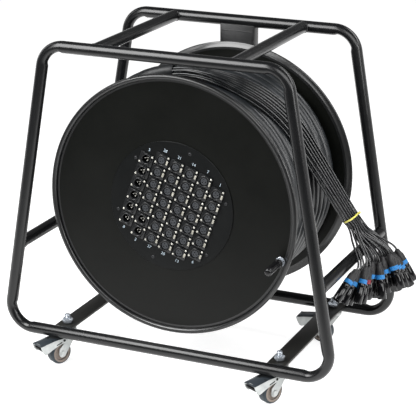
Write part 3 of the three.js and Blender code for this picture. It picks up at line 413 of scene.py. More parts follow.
finishes = {
    "frame": powderCoat("frame paint", (0.003, 0.0033, 0.0038), (0.0052, 0.0055, 0.006), 0.25, 0.012, 0.48),
    "bar": powderCoat("bar paint", (0.012, 0.012, 0.011), (0.02, 0.0195, 0.018), 0.38, 0.06, 0.4),
    "flange": powderCoat("flange paint", (0.0022, 0.0026, 0.002), (0.0036, 0.004, 0.0032), 0.34, 0.02, 0.2),
    # the rims take the flange's paint made lighter and glossier: a painted highlight on the rolled rims
    "rim": powderCoat("rim paint with painted highlight", (0.0035, 0.0038, 0.0041), (0.0058, 0.0063, 0.0066), 0.3, 0.02, 0.75),
    "panel": powderCoat("panel paint", (0.003, 0.0035, 0.0036), (0.005, 0.0056, 0.0057), 0.34, 0.03, 0.18),
    "steel": plated("turned steel", (0.5, 0.51, 0.53), (0.4, 0.4, 0.4), 0.24),
    "zinc": plated("zinc plate", (0.5, 0.54, 0.59), (0.34, 0.37, 0.41), 0.24, 0.6),
    "pressedZinc": plated("pressed zinc", (0.6, 0.62, 0.61), (0.48, 0.5, 0.5), 0.4, 0.5),
    "darkPlate": moulded("dark plate", (0.022, 0.028, 0.035), (0.04, 0.048, 0.056), 0.3, 500, 0.08),
    "castBlack": moulded("cast black", (0.012, 0.013, 0.014), (0.02, 0.021, 0.023), 0.45, 600, 0.15, 0.4),
    "tyre": moulded("tyre", (0.03, 0.042, 0.052), (0.05, 0.066, 0.078), 0.55, 700, 0.2, 0.4),
    "hub": moulded("wheel hub", (0.25, 0.2, 0.17), (0.32, 0.27, 0.23), 0.45, 500, 0.1, 0.4),
    "rubber": moulded("pedal rubber", (0.006, 0.006, 0.006), (0.011, 0.011, 0.011), 0.6, 600, 0.2, 0.3),
    "jacket": moulded("cable jacket", (0.007, 0.0085, 0.01), (0.013, 0.0155, 0.018), 0.34, 420, 0.08, 0.62),
    "sleeve": moulded("shrink sleeve", (0.008, 0.009, 0.01), (0.014, 0.015, 0.016), 0.42, 300, 0.15, 0.4),
    "tail": moulded("tail jacket", (0.005, 0.0058, 0.0066), (0.009, 0.0102, 0.0115), 0.22, 500, 0.01, 0.95),
    "boot": moulded("boot rubber", (0.014, 0.014, 0.015), (0.022, 0.022, 0.0232), 0.45, 500, 0.2, 0.45),
    "shell": moulded("plug shell", (0.002, 0.002, 0.0024), (0.004, 0.004, 0.005), 0.1, 300, 0.01, 0.35, 0.2),
    "blueRing": moulded("blue ring", (0.02, 0.2, 0.53), (0.028, 0.235, 0.59), 0.4, 400, 0.05),
    "redRing": moulded("red ring", (0.23, 0.012, 0.022), (0.28, 0.016, 0.03), 0.4, 400, 0.05),
    "tie": moulded("yellow tie", (0.86, 0.78, 0.13), (0.9, 0.84, 0.26), 0.35, 300, 0.06),
    "grip": moulded("grip plastic", (0.0035, 0.0035, 0.004), (0.006, 0.006, 0.007), 0.22, 400, 0.04),
    "socket": moulded("socket shell", (0.0045, 0.005, 0.0058), (0.0085, 0.0092, 0.01), 0.28, 800, 0.06, 0.45),
    "insert": moulded("socket insert", (0.03, 0.033, 0.037), (0.042, 0.045, 0.05), 0.5, 600, 0.1, 0.3),
    "hole": moulded("hole", (0.001, 0.001, 0.001), (0.002, 0.002, 0.002), 0.7, 300, 0.02, 0.1),
    "latch": moulded("latch tab", (0.42, 0.41, 0.35), (0.56, 0.54, 0.47), 0.4, 500, 0.08),
    "screw": plated("pale screw", (0.74, 0.73, 0.66), (0.55, 0.54, 0.48), 0.35, 0.4),
    "pin": plated("contact pin", (0.9, 0.89, 0.84), (0.8, 0.78, 0.7), 0.25, 0.4),
    "print": moulded("white print", (0.36, 0.44, 0.5), (0.46, 0.54, 0.6), 0.5, 500, 0.02),
}
print("materials made:", len(finishes))

addCamera()

# the multicore's tails and their plugs
side = {"offset": 335.1456, "height": 262.5, "radius": 12.5}  # the cross tube that the tails hang over
bunch = {
    "bed": 244.04, "flatDepth": 13, "startDepth": 26, "flatAngle": 62, "startAngle": 97.5, "leavePlane": 10,
    "drift": -1.06, "straightDrift": 0.19, "tieWidth": 48, "tieDepth": 20, "tieDistance": 199, "tieSpread": 4.95,
    "tieShift": 3.5,
}
leaveRadius = bunch["bed"] + bunch["flatDepth"] / 2
landRadius = side["radius"] + 0.3 + bunch["tieDepth"] / 2
tubeDistance = math.hypot(side["offset"], side["height"] - axisHeight)
tubeBearing = math.atan2(side["height"] - axisHeight, side["offset"])
leaveTurn = tubeBearing + math.acos((leaveRadius - landRadius) / tubeDistance)
leaveAngle = math.degrees(leaveTurn)
leavePoint = around(leaveRadius, leaveAngle, bunch["leavePlane"])
straightAlong = Vector((math.sin(leaveTurn), bunch["straightDrift"], -math.cos(leaveTurn)))
straightUp = Vector((math.cos(leaveTurn), 0, math.sin(leaveTurn)))


def bunchPlane(angle):
    return bunch["leavePlane"] + (angle - leaveAngle) * bunch["drift"]


def straightPoint(distance, up):  # on the straight run from the winding to the side tube
    return leavePoint + straightAlong * distance + straightUp * up


plugs = {
    "length": 76, "pitch": 19.6, "rowPitch": 19, "outset": 26.35, "firstPlane": -46, "counts": [11, 11, 6, 4],
    "starts": [0, 1.5, 4, 5.5], "topHeight": 259, "rowRise": 6, "stagger": 4, "fanMiddle": 70, "near": (1.0, 1.44),
    "far": (0.86, 1.12), "nearSide": 0.2, "farSide": 0.12, "farDrop": 0.13, "rowTop": 0.6, "rowEnd": 1.15,
    "wobble": (1.8, 2.2), "red": {6, 13, 22, 29},
}
tails = {
    "columns": 11, "rows": 3, "count": 32, "diameter": 4.2, "bunches": [(0, 4), (4, 4), (8, 3)], "inset": 3.1,
    "packing": [4, 6, 6, 6, 6, 4], "flatPitch": 6.4, "flatRow": 4.25, "step": 3.1, "tieRow": 6.05, "zigzag": 1.5,
    "layer": 5.4, "middle": 5, "lift": 2.1, "sideStep": 0.6, "sway": 0.8, "rootPast": 13, "fanPast": 42,
    "fanShare": 0.28, "aboveBoot": 12, "packGap": 0.15, "packHeight": 0.87,
}


def plugPlaces():  # where each boot's tip is, and which way the plug hangs from it
    places = []
    for row, count in enumerate(plugs["counts"]):
        for index in range(count):
            plane = plugs["firstPlane"] + (plugs["starts"][row] + index) * plugs["pitch"]
            out = row * plugs["rowPitch"]
            height = plugs["topHeight"] + row * plugs["rowRise"] - ((row + index) % 3) * plugs["stagger"]
            height -= plugs["farDrop"] * max(plane - plugs["firstPlane"], 0)
            off = plane - plugs["fanMiddle"]
            fanTop, fanEnd = plugs["near"] if off < 0 else plugs["far"]
            start = side["offset"] + plugs["outset"] + out * plugs["rowTop"]
            aside = off * (plugs["nearSide"] if off < 0 else plugs["farSide"])
            lean = Vector((out * (plugs["rowEnd"] - plugs["rowTop"]) + aside, off * (fanEnd - fanTop), 0))
            swingX, swingY = plugs["wobble"]
            lean += Vector((swingX * math.sin(index * 2.3 + row), swingY * math.sin(index * 1.7 + row * 2), 0))
            lean.z = -math.sqrt(plugs["length"] ** 2 - lean.length_squared)
            top = Vector((start, plugs["fanMiddle"] + off * fanTop, height))
            places.append({"top": top, "along": lean.normalized()})
    return sorted(places, key=lambda place: place["top"].y)


def tailPlaces():  # the plugs in columns along Y and rows outwards
    places = plugPlaces()
    ordered = []
    for column in range(tails["columns"]):
        share = places[column * tails["rows"]:(column + 1) * tails["rows"]]
        for row, place in enumerate(sorted(share, key=lambda place: place["top"].x)):
            ordered.append({**place, "column": column, "row": row})
    return ordered


def bunchOf(column):  # its number, its first column and how many it has
    for number, (first, count) in enumerate(tails["bunches"], 1):
        if column < first + count:
            return number, first, count


def rootOffset(column):  # across the tie, within the tail's own bunch
    first, count = bunchOf(column)[1:]
    pitch = bunch["tieWidth"] / tails["columns"]
    room = count * pitch - 2 * tails["inset"]
    return -bunch["tieWidth"] / 2 + first * pitch + tails["inset"] + room * (column - first) / (count - 1)


def startGrid():  # how the tails are packed in the sleeve's mouth, sorted across
    pitch = tails["diameter"] + tails["packGap"]
    spots = []
    for row, count in enumerate(tails["packing"]):
        shift = 0.25 * pitch * (1 if row % 2 else -1) if count == 6 else 0
        for index in range(count):
            spots.append(((index - (count - 1) / 2) * pitch + shift, (row - 2.5) * pitch * tails["packHeight"]))
    spots.sort()
    grid = {}
    for column in range(tails["columns"]):
        share = sorted(spots[column * tails["rows"]:(column + 1) * tails["rows"]], key=lambda place: place[1])
        for row, place in enumerate(share):
            grid[column, row] = place
    return grid


def flatSpot(column, row):  # across and up where the bunch lies flat on the winding
    high = tails["step"] if column % 2 else -tails["step"]
    aside = tails["sideStep"] if row == 1 else -tails["sideStep"]
    across = (column - tails["middle"]) * tails["flatPitch"] + aside
    return across, (row - 1) * tails["flatRow"] + high + tails["lift"]


def tieSpot(column, row):
    zigzag = tails["zigzag"] * (1 if column % 2 else -1)
    across = (column - tails["middle"]) * bunch["tieSpread"] - bunch["tieShift"]
    return across, (row - 1) * tails["tieRow"] + zigzag


def tailRoute(tail, starts):
    column, row, top, along = tail["column"], tail["row"], tail["top"], tail["along"]
    start, flat, tied = starts[column, row], flatSpot(column, row), tieSpot(column, row)
    sway = tails["sway"] * math.sin(column * 2.4 + row * 1.9)
    points = []
    begin = bunch["startAngle"]
    angle = begin + 2.5
    while angle > leaveAngle + 2:  # over the winding
        share = ease(begin - angle, 0, begin - bunch["flatAngle"])
        depth = mix(bunch["startDepth"], bunch["flatDepth"], share)
        wander = sway * math.sin(math.pi * ease(begin - angle, 0, 70))
        across = mix(start[0], flat[0], share) + wander
        up = depth / 2 + mix(start[1], flat[1], share)
        points.append(around(bunch["bed"] + up, angle, bunchPlane(angle) + across))
        angle -= 6
    distance = 0
    while distance <= bunch["tieDistance"]:  # straight on to the tie
        share = ease(distance, 0, bunch["tieDistance"])
        point = straightPoint(distance, mix(flat[1], tied[1], share))
        point.y += mix(flat[0], tied[0], share)
        points.append(point)
        distance += bunch["tieDistance"] / 7
    root = straightPoint(bunch["tieDistance"] + tails["rootPast"], tied[1])
    root.y += mix(tied[0], rootOffset(column), 0.5)
    goal = top - along * tails["aboveBoot"]
    fan = straightPoint(bunch["tieDistance"] + tails["fanPast"], mix(tied[1], row * 5 - 5, 0.5))
    fan.y = mix(root.y, goal.y, tails["fanShare"]) + sway
    points += [root, fan]
    # then straight to the plug where the side tube leaves room, or bent over the tube
    for bearing, grow, share, straight in ((52, 0, 0.6, 0.4), (22, 1.5, 0.82, 0.75)):
        reach = side["radius"] + 3 + row * tails["layer"] + grow
        turn = math.radians(bearing)
        x, z = side["offset"] + reach * math.cos(turn), side["height"] + reach * math.sin(turn)
        direct = fan.lerp(goal, straight)
        isClear = math.hypot(direct.x - side["offset"], direct.z - side["height"]) > reach
        points.append(direct if isClear else Vector((x, mix(root.y, goal.y, share), z)))
    points += [top - along * 6, top + along * 2, top + along * 10]
    return [placed(point) for point in points]


def makePlug():  # built along -Z from the boot's tip at the origin, as boot, ring, shell and pins
    profiles = {
        "boot": [
            (2.2, 0), (4.4, 0), (5.1, 0.5), (5.5, 1.4), (5.9, 5), (7.1, 9.5), (8.3, 12.6), (8.75, 14.2), (8.75, 15.2),
            (8.55, 15.5), (8.55, 16), (8.8, 16.4), (8.9, 17.5), (8.9, 25.6), (8.7, 26.2), (2.2, 26.2),
        ],
        "ring": [(5, 26.2), (9.1, 26.2), (9.45, 26.6), (9.45, 34.4), (9.1, 35), (5, 35)],
        "shell": [
            (5, 35), (9.0, 35), (9.25, 35.4), (9.25, 43), (9.05, 43.4), (9.05, 44), (9.35, 44.6), (9.35, 75.4),
            (9.0, 76), (8.2, 76), (7.9, 75.6), (7.9, 62), (5, 62),
        ],
    }
    pieces = [tipped(turnOnAxis(name, profile, 20, 35), -90) for name, profile in profiles.items()]
    pins = []
    for turn in roundTurn(3):
        pin = turnOnAxis("pin", [(0, 60), (1.2, 60), (1.2, 72.4), (0.7, 73.4), (0, 73.6)], 8)
        pins.append(moved(tipped(pin, -90), 3.5 * math.cos(turn), 3.5 * math.sin(turn), 0))
    pins.append(tipped(rodAlongY("floor", 6, 61.5, 62.4, 16), -90))
    return pieces + [joinAll("pins", pins)]


def pathLength(cord):
    line = cord.data.copy()
    line.bevel_depth = 0
    ghost = bpy.data.objects.new("line", line)
    bpy.context.collection.objects.link(ghost)
    mesh = ghost.to_mesh()
    points = [vertex.co.copy() for vertex in mesh.vertices]
    length = sum((b - a).length for a, b in zip(points, points[1:]))
    ghost.to_mesh_clear()
    bpy.data.objects.remove(ghost)
    bpy.data.curves.remove(line)
    return round(length, 4)


def makeTails():
    starts = startGrid()
    parts = makePlug()
    for number, tail in enumerate(tailPlaces(), 1):
        route = tailRoute(tail, starts)
        cord = tubeAlong(f"tail_{number:02d}", route, tails["diameter"] / 2, kind="BEZIER", sides=10, fineness=5)
        hang = Vector((0, 0, -1)).rotation_difference(tail["along"]).to_matrix().to_4x4()
        place = Matrix.Translation(placed(tail["top"])) @ hang @ Matrix.Rotation(number * 1.7, 4, "Z")
        ring = "redRing" if number in plugs["red"] else "blueRing"
        for part, kind, finish in zip(parts, ("boot", "ring", "shell", "pins"), ("boot", ring, "shell", "pin")):
            piece = copyOf(part, place)
            piece.name = f"plug_{kind}_{number:02d}"
            finishPiece(piece, finish, "trolley", "black_plastic")
        finishPiece(cord, "tail", "trolley", "jacket")
        node = bunchOf(tail["column"])[0]
        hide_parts("tail_bunch", f"plug_bunch_{node}")
        pathLength(cord)
    for part in parts:
        bpy.data.objects.remove(part)
    print("tails and plugs made:", tails["count"])


makeTails()

# the trolley's frame
tube = {
    "radius": 12.5, "loopPlane": 193, "bottomWidth": 735, "topWidth": 520, "bottom": 76.5, "top": 694.5, "bend": 50,
    "sides": 32, "bendSteps": 16, "crossInset": 111, "sideHeight": 262.5, "weld": 1.7, "seam": 1.1,
    "bulge": 0.9, "flattening": 3.0, "overlap": 0.4, "proud": 0.6, "ripple": 0.25,
}


def loopBends():  # each corner with its way in and out, its angle, its tangent's length and its centre
    half, narrow = tube["bottomWidth"] / 2, tube["topWidth"] / 2
    ends = ((half, tube["bottom"]), (narrow, tube["top"]), (-narrow, tube["top"]), (-half, tube["bottom"]))
    corners = [Vector((x, 0, z)) for x, z in ends]
    bends = []
    for index, corner in enumerate(corners):
        into = (corner - corners[index - 1]).normalized()
        outOf = (corners[(index + 1) % 4] - corner).normalized()
        angle = into.angle(outOf)
        tangent = tube["bend"] * math.tan(angle / 2)
        centre = corner - into * tangent + Vector((-into.z, 0, into.x)) * tube["bend"]
        bends.append((corner, into, outOf, angle, tangent, centre))
    return bends


def drawOn(step):  # carries the tube's open end straight on, in millimetres
    bpy.ops.mesh.extrude_region_move(TRANSFORM_OT_translate={"value": step * mm})


def makeLoop(name, plane):  # one ring of tube drawn round the loop by extrudes and spins
    deselectAll()
    first = Vector((0, 0, tube["bottom"]))
    bpy.ops.mesh.primitive_circle_add(
        vertices=tube["sides"], radius=tube["radius"] * mm, location=spot(0, plane, first.z),
        rotation=(0, math.pi / 2, 0),
    )
    bpy.ops.object.transform_apply(location=True, rotation=True, scale=True)
    piece = bpy.context.object
    editAll()
    here = first
    for corner, into, outOf, angle, tangent, centre in loopBends():
        drawOn(corner - into * tangent - here)
        middle = spot(centre.x, plane, centre.z)
        bpy.ops.mesh.spin(steps=tube["bendSteps"], angle=angle, center=middle, axis=(0, 1, 0))
        here = corner + outOf * tangent
    drawOn(first - here)
    tidyMesh()
    piece.name = name
    wrinkle(piece)
    smooth(piece, 50)
    return piece


def wrinkle(piece):  # each bend is flattened on its inside, with a small bulge where it starts
    for corner, into, outOf, angle, tangent, centre in loopBends():
        ends = ((into, corner - into * tangent), (-outOf, corner + outOf * tangent))
        for vertex in piece.data.vertices:
            place = vertex.co / mm
            for way, back in ends:
                beyond = (place - back).dot(way)  # negative before the bend
                towards = (centre - back).normalized()
                high = (place - back).dot(towards) / tube["radius"]
                if -26 < beyond <= 0.01 and abs(high) < 1.01:
                    lift = tube["bulge"] * ease(high, -0.2, 1) * ease(beyond, -24, -8) * (1 - ease(beyond, -7, 0))
                    vertex.co += towards * lift * mm
            offset = Vector((place.x - centre.x, 0, place.z - centre.z))
            if offset.length < tube["bend"] + 13:
                share = offset.angle(corner - centre) / (angle / 2)
                if share < 1.001:
                    inner = ease(tube["bend"] - offset.length, -6, tube["radius"])
                    push = inner * tube["flattening"] * ease(1 - share, -0.02, 0.3)
                    vertex.co += offset.normalized() * mm * push


def weldBead(x, z, lean, end):  # a closed run of weld where a cross tube meets a loop
    points = []
    normal = Vector((math.cos(lean), 0, -math.sin(lean)))
    reach, radius = tube["radius"] - tube["overlap"], tube["radius"]
    for index, turn in enumerate(roundTurn(48)):
        out = Vector((math.cos(turn), 0, math.sin(turn)))
        across = min(abs(reach * out.dot(normal)), radius)
        inward = math.sqrt(radius ** 2 - across ** 2)
        ripple = tube["ripple"] * math.sin(index * 2.1)
        height = min(z + out.z * reach, tube["top"] + radius - tube["weld"])  # no prouder than the tubes' top
        points.append(spot(x + out.x * reach, end * (tube["loopPlane"] - inward - tube["proud"] - ripple), height))
    return meshed(tubeAlong("weld", points, tube["weld"], cyclic=True, sides=8))


def makeFrame():
    for word, way in (("front", -1), ("rear", 1)):
        loop = makeLoop(f"{word}_tube_loop", way * tube["loopPlane"])
        finishPiece(loop, "frame", "trolley", "frame_paint", f"{word}_loop")
    lean = math.atan((tube["bottomWidth"] - tube["topWidth"]) / 2 / (tube["top"] - tube["bottom"]))
    reach = tube["loopPlane"] - 3
    welds = []
    for way, word in ((-1, "left"), (1, "right")):
        top = way * (tube["topWidth"] / 2 - tube["crossInset"])
        low = way * (tube["topWidth"] / 2 + math.tan(lean) * (tube["top"] - tube["sideHeight"]))
        rods = (("top", top, tube["top"], -math.pi / 2), ("side", low, tube["sideHeight"], way * lean))
        for level, x, z, tilt in rods:
            rod = rodAlongY(f"{level}_tube_{word}", tube["radius"], -reach, reach, tube["sides"])
            moved(rod, x, setBack, z)
            finishPiece(rod, "frame", "trolley", "frame_paint", f"{level}_cross_tube_{word}")
            welds += [weldBead(x, z, tilt, end) for end in (-1, 1)]
    seam = [spot(x, channel["front"] - 0.3, channel["seam"] + 0.4 * math.sin(x * 0.9)) for x in range(-36, 37, 2)]
    welds.append(meshed(tubeAlong("seam", seam, tube["seam"], sides=8)))
    finishPiece(joinAll("tube_welds", welds), "frame", "trolley", "frame_paint")
    makeBars()
    makeUpright()
    print("frame made")


bars = {"offset": 243, "width": 40, "bottom": 79.5, "top": 84.5}


def makeBars():
    end = tube["loopPlane"] - 2
    for way, word in ((-1, "left"), (1, "right")):
        middle, half = way * bars["offset"], bars["width"] / 2
        outline = oblong(middle - half, middle + half, bars["bottom"], bars["top"])
        bar = pressAlongY(f"castor_strap_{word}", outline, setBack - end, 2 * end, 0.6)
        finishPiece(bar, "bar", "trolley", "frame_paint", f"castor_bar_{word}")


channel = {"half": 40, "front": 181, "back": 205, "wall": 4, "corner": 3, "bottom": 84, "top": 687, "seam": 674}


def makeUpright():  # a channel open to the back
    half, front, back = channel["half"], channel["front"], channel["back"]
    wall, corner = channel["wall"], channel["corner"]
    left, right, seat = corner - half, half - corner, front + corner
    steps = (0.4, 0.8, 1.2)
    section = [(-half, back), (-half, seat)]
    section += [(left - corner * math.cos(turn), seat - corner * math.sin(turn)) for turn in steps]
    section += [(left, front), (right, front)]
    section += [(right + corner * math.sin(turn), seat - corner * math.cos(turn)) for turn in steps]
    section += [(half, seat), (half, back), (half - wall, back), (half - wall, front + wall)]
    section += [(wall - half, front + wall), (wall - half, back)]
    outline = [(x, plane + setBack, channel["bottom"]) for x, plane in section]
    post = pressOut("upright_channel", outline, (0, 0, channel["top"] - channel["bottom"]), 0.5)
    finishPiece(post, "frame", "trolley", "frame_paint", "rear_upright")


makeFrame()

# castors, each built round its stem and trailing along +X
castor = {
    "offset": 243, "plane": 160.5, "front": 243.2, "rear": 180, "trail": 24, "wheelRadius": 25, "wheelHalf": 11,
    "cheekIn": 12.2, "cheekOut": 14.7, "chord": 12.03, "eye": 9, "stemTop": 105.5, "threadStart": 84.6,
    "threadPitch": 1.25, "nutBottom": 87.7,
}


def onAxle(piece):
    return moved(piece, castor["trail"], 0, castor["wheelRadius"])


def makeFork():
    trail, eye, chord, hub = castor["trail"], castor["eye"], castor["chord"], castor["wheelRadius"]
    inside, outside = castor["cheekIn"], castor["cheekOut"]
    head = [
        (5.4, 68.2), (17.0, 68.2), (18.6, 68.8), (19, 69.8), (19, 73.2), (18.2, 75), (16.6, 75.7), (5.4, 75.7),
    ]
    cheek = [(-chord, 71), (-chord, 61.5)]
    turns = [math.radians(angle) for angle in range(200, 361, 20)]
    cheek += [(trail + eye * math.cos(turn), hub + eye * math.sin(turn)) for turn in turns]
    cheek += [(trail + eye * 0.9, 36), (chord + 9.5, 46), (chord + 3.2, 56), (chord, 62), (chord, 71)]
    parts = [tipped(turnOnAxis("head", head, 40), 90)]
    parts += [pressAlongY("cheek", cheek, front, outside - inside, 0.6) for front in (inside, -outside)]
    for way in (-1, 1):
        parts.append(onAxle(hexNut("bolt", 12, outside if way > 0 else -outside - 2.5, 2.5, 0.1)))
        parts.append(onAxle(rodAlongY("washer", 7.4, way * outside - 0.5, way * outside + 0.5, 24, 0.2)))
    parts.append(onAxle(rodAlongY("axle", 4, -12.5, 12.5, 16)))
    return joinAll("fork", parts)


def makeStem():
    top, plane = castor["stemTop"], castor["threadStart"]
    profile = [
        (0, 65.4), (7.2, 65.4), (8.3, 66), (8.5, 66.8), (8.5, 67.9), (5, 67.9), (5, 76), (14, 76), (15, 76.8),
        (15, 78.4), (14, 79.2), (5, 79.2), (5, 84), (4.9, 84.6),
    ]
    while plane < top - 2.2:  # the thread, as rings
        profile += [(5.9, plane + 0.3), (5.9, plane + 0.6), (5.6, plane + 0.9), (5.6, plane + 1.1)]
        plane += castor["threadPitch"]
    profile += [(5.8, top - 1.2), (5, top), (0, top)]
    nut = hexNut("nut", 19, castor["nutBottom"], 9, 4.9)
    return joinAll("stem", [tipped(turnOnAxis("stem", profile, 24, 25), 90), tipped(nut, 90)])


def makeWheelPart(name, profile, steps, angle):  # one half's radii and insets from the wheel's side, mirrored
    near = [(radius, inset - castor["wheelHalf"]) for radius, inset in profile]
    far = [(radius, -plane) for radius, plane in reversed(near)]
    return onAxle(turnOnAxis(name, near + far, steps, angle))


def makeCastorParts():
    spacer = [(5.6, 84.7), (9.6, 84.7), (10, 85.1), (10, 87.2), (9.6, 87.6), (5.6, 87.6)]
    tread = [(15.2, 0.4), (20.6, 0), (22.2, 0.5), (23.8, 1.7), (24.7, 3.2), (25, 5)]
    hub = [
        (4.4, 0.2), (8, 0.2), (8.6, 0.8), (9.2, 2.4), (10, 2.8), (14.2, 2.8), (15, 2.2), (15.6, 0.3), (20.4, -0.15),
        (20.6, 0.4),
    ]
    return {
        "fork": makeFork(), "stem": makeStem(), "spacer": tipped(turnOnAxis("spacer", spacer, 32), 90),
        "tread": makeWheelPart("tread", tread, 56, 50), "hub": makeWheelPart("hub", hub, 48, 30), **makePedal(),
    }


pedal = {"half": 17.5, "wall": 1.6, "top": 61, "tip": 54, "crown": 1.6, "hinge": (11, 55)}


def pedalLine(x):  # height of the pedal's top along its length: level, then falling to the tip
    return pedal["top"] - (pedal["top"] - pedal["tip"]) * ease(x, 14, 96)


def makePedal():
    half, wall = pedal["half"], pedal["wall"]
    hingeX, hingeZ = pedal["hinge"]
    across = [(step / 12, (abs(step / 12 - 0.5) * 2) ** 2) for step in range(13)]  # share, and its bow
    rings = []
    for x in (20, 26, 32, 38, 44, 50, 56, 62, 68, 73, 77, 79.6):
        crown = pedal["crown"] * math.sin(math.pi * min((x - 14) / 66, 1))
        outer = [(x, mix(1.2 - half, half - 1.2, share), pedalLine(x) - crown * bow) for share, bow in across]
        inner = [(x, y * 0.92, z - wall) for x, y, z in outer]
        rings.append(outer + inner[::-1])
    plate = loft("pedalPlate", rings, 35)
    skirt = [
        (0.4, 49.4), (0.4, 58.4), (2.2, 60.4), (14, 60.6), (26, 60.3), (44, 59.0), (62, 56.6), (80, 53.6),
        (79.6, 50.4), (76.5, 43), (72.5, 36.6), (69.5, 34.4), (66, 34.2), (60, 36.6), (54, 39.4), (48, 42),
        (38, 45.5), (26, 48.6),
    ]
    dimpleProfile = [(2.6, 0), (2.6, 0.25), (2.1, 0.5), (1.5, 0.1), (0, -0.3), (0, -0.6), (2.6, -0.6)]
    skirts, paintedShadeOpenings = [], []
    for way in (-1, 1):
        skirts.append(pressAlongY("skirt", skirt, half - wall if way > 0 else -half, wall, 0.5))
        for x, z in ((55, 46.5), (62, 44)):
            dimple = turnOnAxis("dimple", dimpleProfile, 18, 60)
            if way < 0:
                dimple.data.transform(Matrix.Rotation(math.pi, 4, "Z"))
            skirts.append(moved(dimple, x, way * half, z))
        start, end = sorted((way * half, way * (half + 0.9)))
        skirts.append(moved(rodAlongY("pin", 3.6, start, end, 20, 0.3), hingeX, 0, hingeZ))
        # the slot and the hole are thin sheets of pedal rubber laid on each skirt: painted shade where the skirt has
        # openings
        front = half + 0.02 if way > 0 else -half - 0.32
        paintedShadeOpenings.append(pressAlongY("slot", [(27, 51.2), (41, 47.4), (41, 49.6), (27, 54)], front, 0.3))
        paintedShadeOpenings.append(moved(rodAlongY("hole", 3, front, front + 0.3, 16), 21, 0, 55.5))
    skirts.append(moved(rodAlongY("hinge", 2.5, 0.5 - half, half - 0.5, 16), hingeX, 0, hingeZ))
    lip = []  # the bright folded edge at the tip
    for share, bow in across:
        edge = ((77.4, 0.5), (79.8, 0.9), (80, 1.6), (79.2, 3.4), (77.6, 2.6))
        y = mix(0.2 - half, half - 0.2, share)
        lip.append([(x - 2.2 * (1 - bow), y, pedalLine(x) - drop - pedal["crown"] * bow + 0.9) for x, drop in edge])
    skirts.append(loft("lip", lip, 50))
    pad = [(30, 55), (44, 55), (47, 57), (47, 58.4), (30, 58.6)]
    shoe = [(56, 42), (66, 36.5), (69, 37.5), (68, 40), (72, 39.5), (74.5, 42), (75.5, 46), (56, 51)]
    rubbers = [pressAlongY("rubber", pad, -11, 22, 0.6), pressAlongY("heel", shoe, -14.5, 29, 0.5)]
    return {
        "pedalPlate": plate, "pedalSkirts": joinAll("pedalSkirts", skirts),
        "pedalRubber": joinAll("pedalRubber", rubbers + paintedShadeOpenings),
    }


def makeCastors():
    parts = makeCastorParts()
    looks = {
        "stem": ("trolley", "zinc", "zinc", "castor_stem_{}"),
        "spacer": ("trolley", "castBlack", "zinc", None),
        "fork": ("castor_{}", "pressedZinc", "zinc", "castor_fork_{}"),
        "tread": ("wheel_{}", "tyre", "tyre", "castor_wheel_{}"),
        "hub": ("wheel_{}", "hub", "tyre", None),
        "pedalPlate": ("pedal_{}", "darkPlate", "black_metal", "castor_pedal_{}"),
        "pedalSkirts": ("pedal_{}", "pressedZinc", "black_metal", None),
        "pedalRubber": ("pedal_{}", "rubber", "black_metal", None),
    }
    corners = (("front_left", -1, -1), ("front_right", 1, -1), ("rear_left", -1, 1), ("rear_right", 1, 1))
    for word, across, back in corners:
        heading = castor["front"] if back < 0 else castor["rear"]
        stem = spot(across * castor["offset"], back * castor["plane"], 0)
        place = Matrix.Translation(stem) @ Matrix.Rotation(math.radians(heading), 4, "Z")
        for kind, (body, finish, slotName, node) in looks.items():
            piece = copyOf(parts[kind], place)
            piece.name = f"{kind}_{word}"
            finishPiece(piece, finish, body.format(word), slotName, *([node.format(word)] if node else []))
    for part in parts.values():
        bpy.data.objects.remove(part)
    print("castors made: 4")


makeCastors()

# drum
drum = {
    "flange": 274, "sheet": 2.5, "bead": 5.5, "frontRim": -155, "rearRim": 172, "frontHole": 126, "rearHole": 36,
    "seam": 258, "steps": 144, "shoulder": 262, "rounding": 4.5, "slope": 34,
    "slopeSteps": 6, "rolled": -230, "beadSteps": 14,
}


def onAxis(piece):
    return moved(piece, 0, setBack, axisHeight)


def sheetProfile(rim, away, hole):  # away is the side that looks away from the winding
    inner = rim - away * drum["bead"]
    outer = inner + away * drum["sheet"]
    return [(hole, inner), (drum["seam"], inner), (drum["seam"], outer), (hole, outer)]


def rimProfile(rim, away):  # from the sheet over a shoulder and a slope round the rolled bead
    bead, seam, rounding = drum["bead"], drum["seam"], drum["rounding"]
    inner = rim - away * bead
    outer = inner + away * drum["sheet"]
    centre = drum["flange"] - bead
    profile = [(seam - 0.2, inner), (drum["shoulder"], inner)]
    for step in range(1, drum["slopeSteps"] + 1):
        turn = math.radians(drum["slope"] * step / drum["slopeSteps"])
        profile.append((drum["shoulder"] + rounding * math.sin(turn), inner + away * rounding * (1 - math.cos(turn))))
    falls = ((268.6, 3.2), (271.6, 3.7), (273.3, 4.4), (273.95, 5.2))
    profile += [(radius, inner + away * fall) for radius, fall in falls]
    for step in range(1, drum["beadSteps"] + 1):
        turn = math.radians(drum["rolled"] * step / drum["beadSteps"])
        profile.append((centre + bead * math.cos(turn), rim - away * bead * math.sin(turn)))
    return profile + [(centre - bead - 0.4, outer + away * 0.5), (centre - bead - 1.8, outer), (seam - 0.2, outer)]


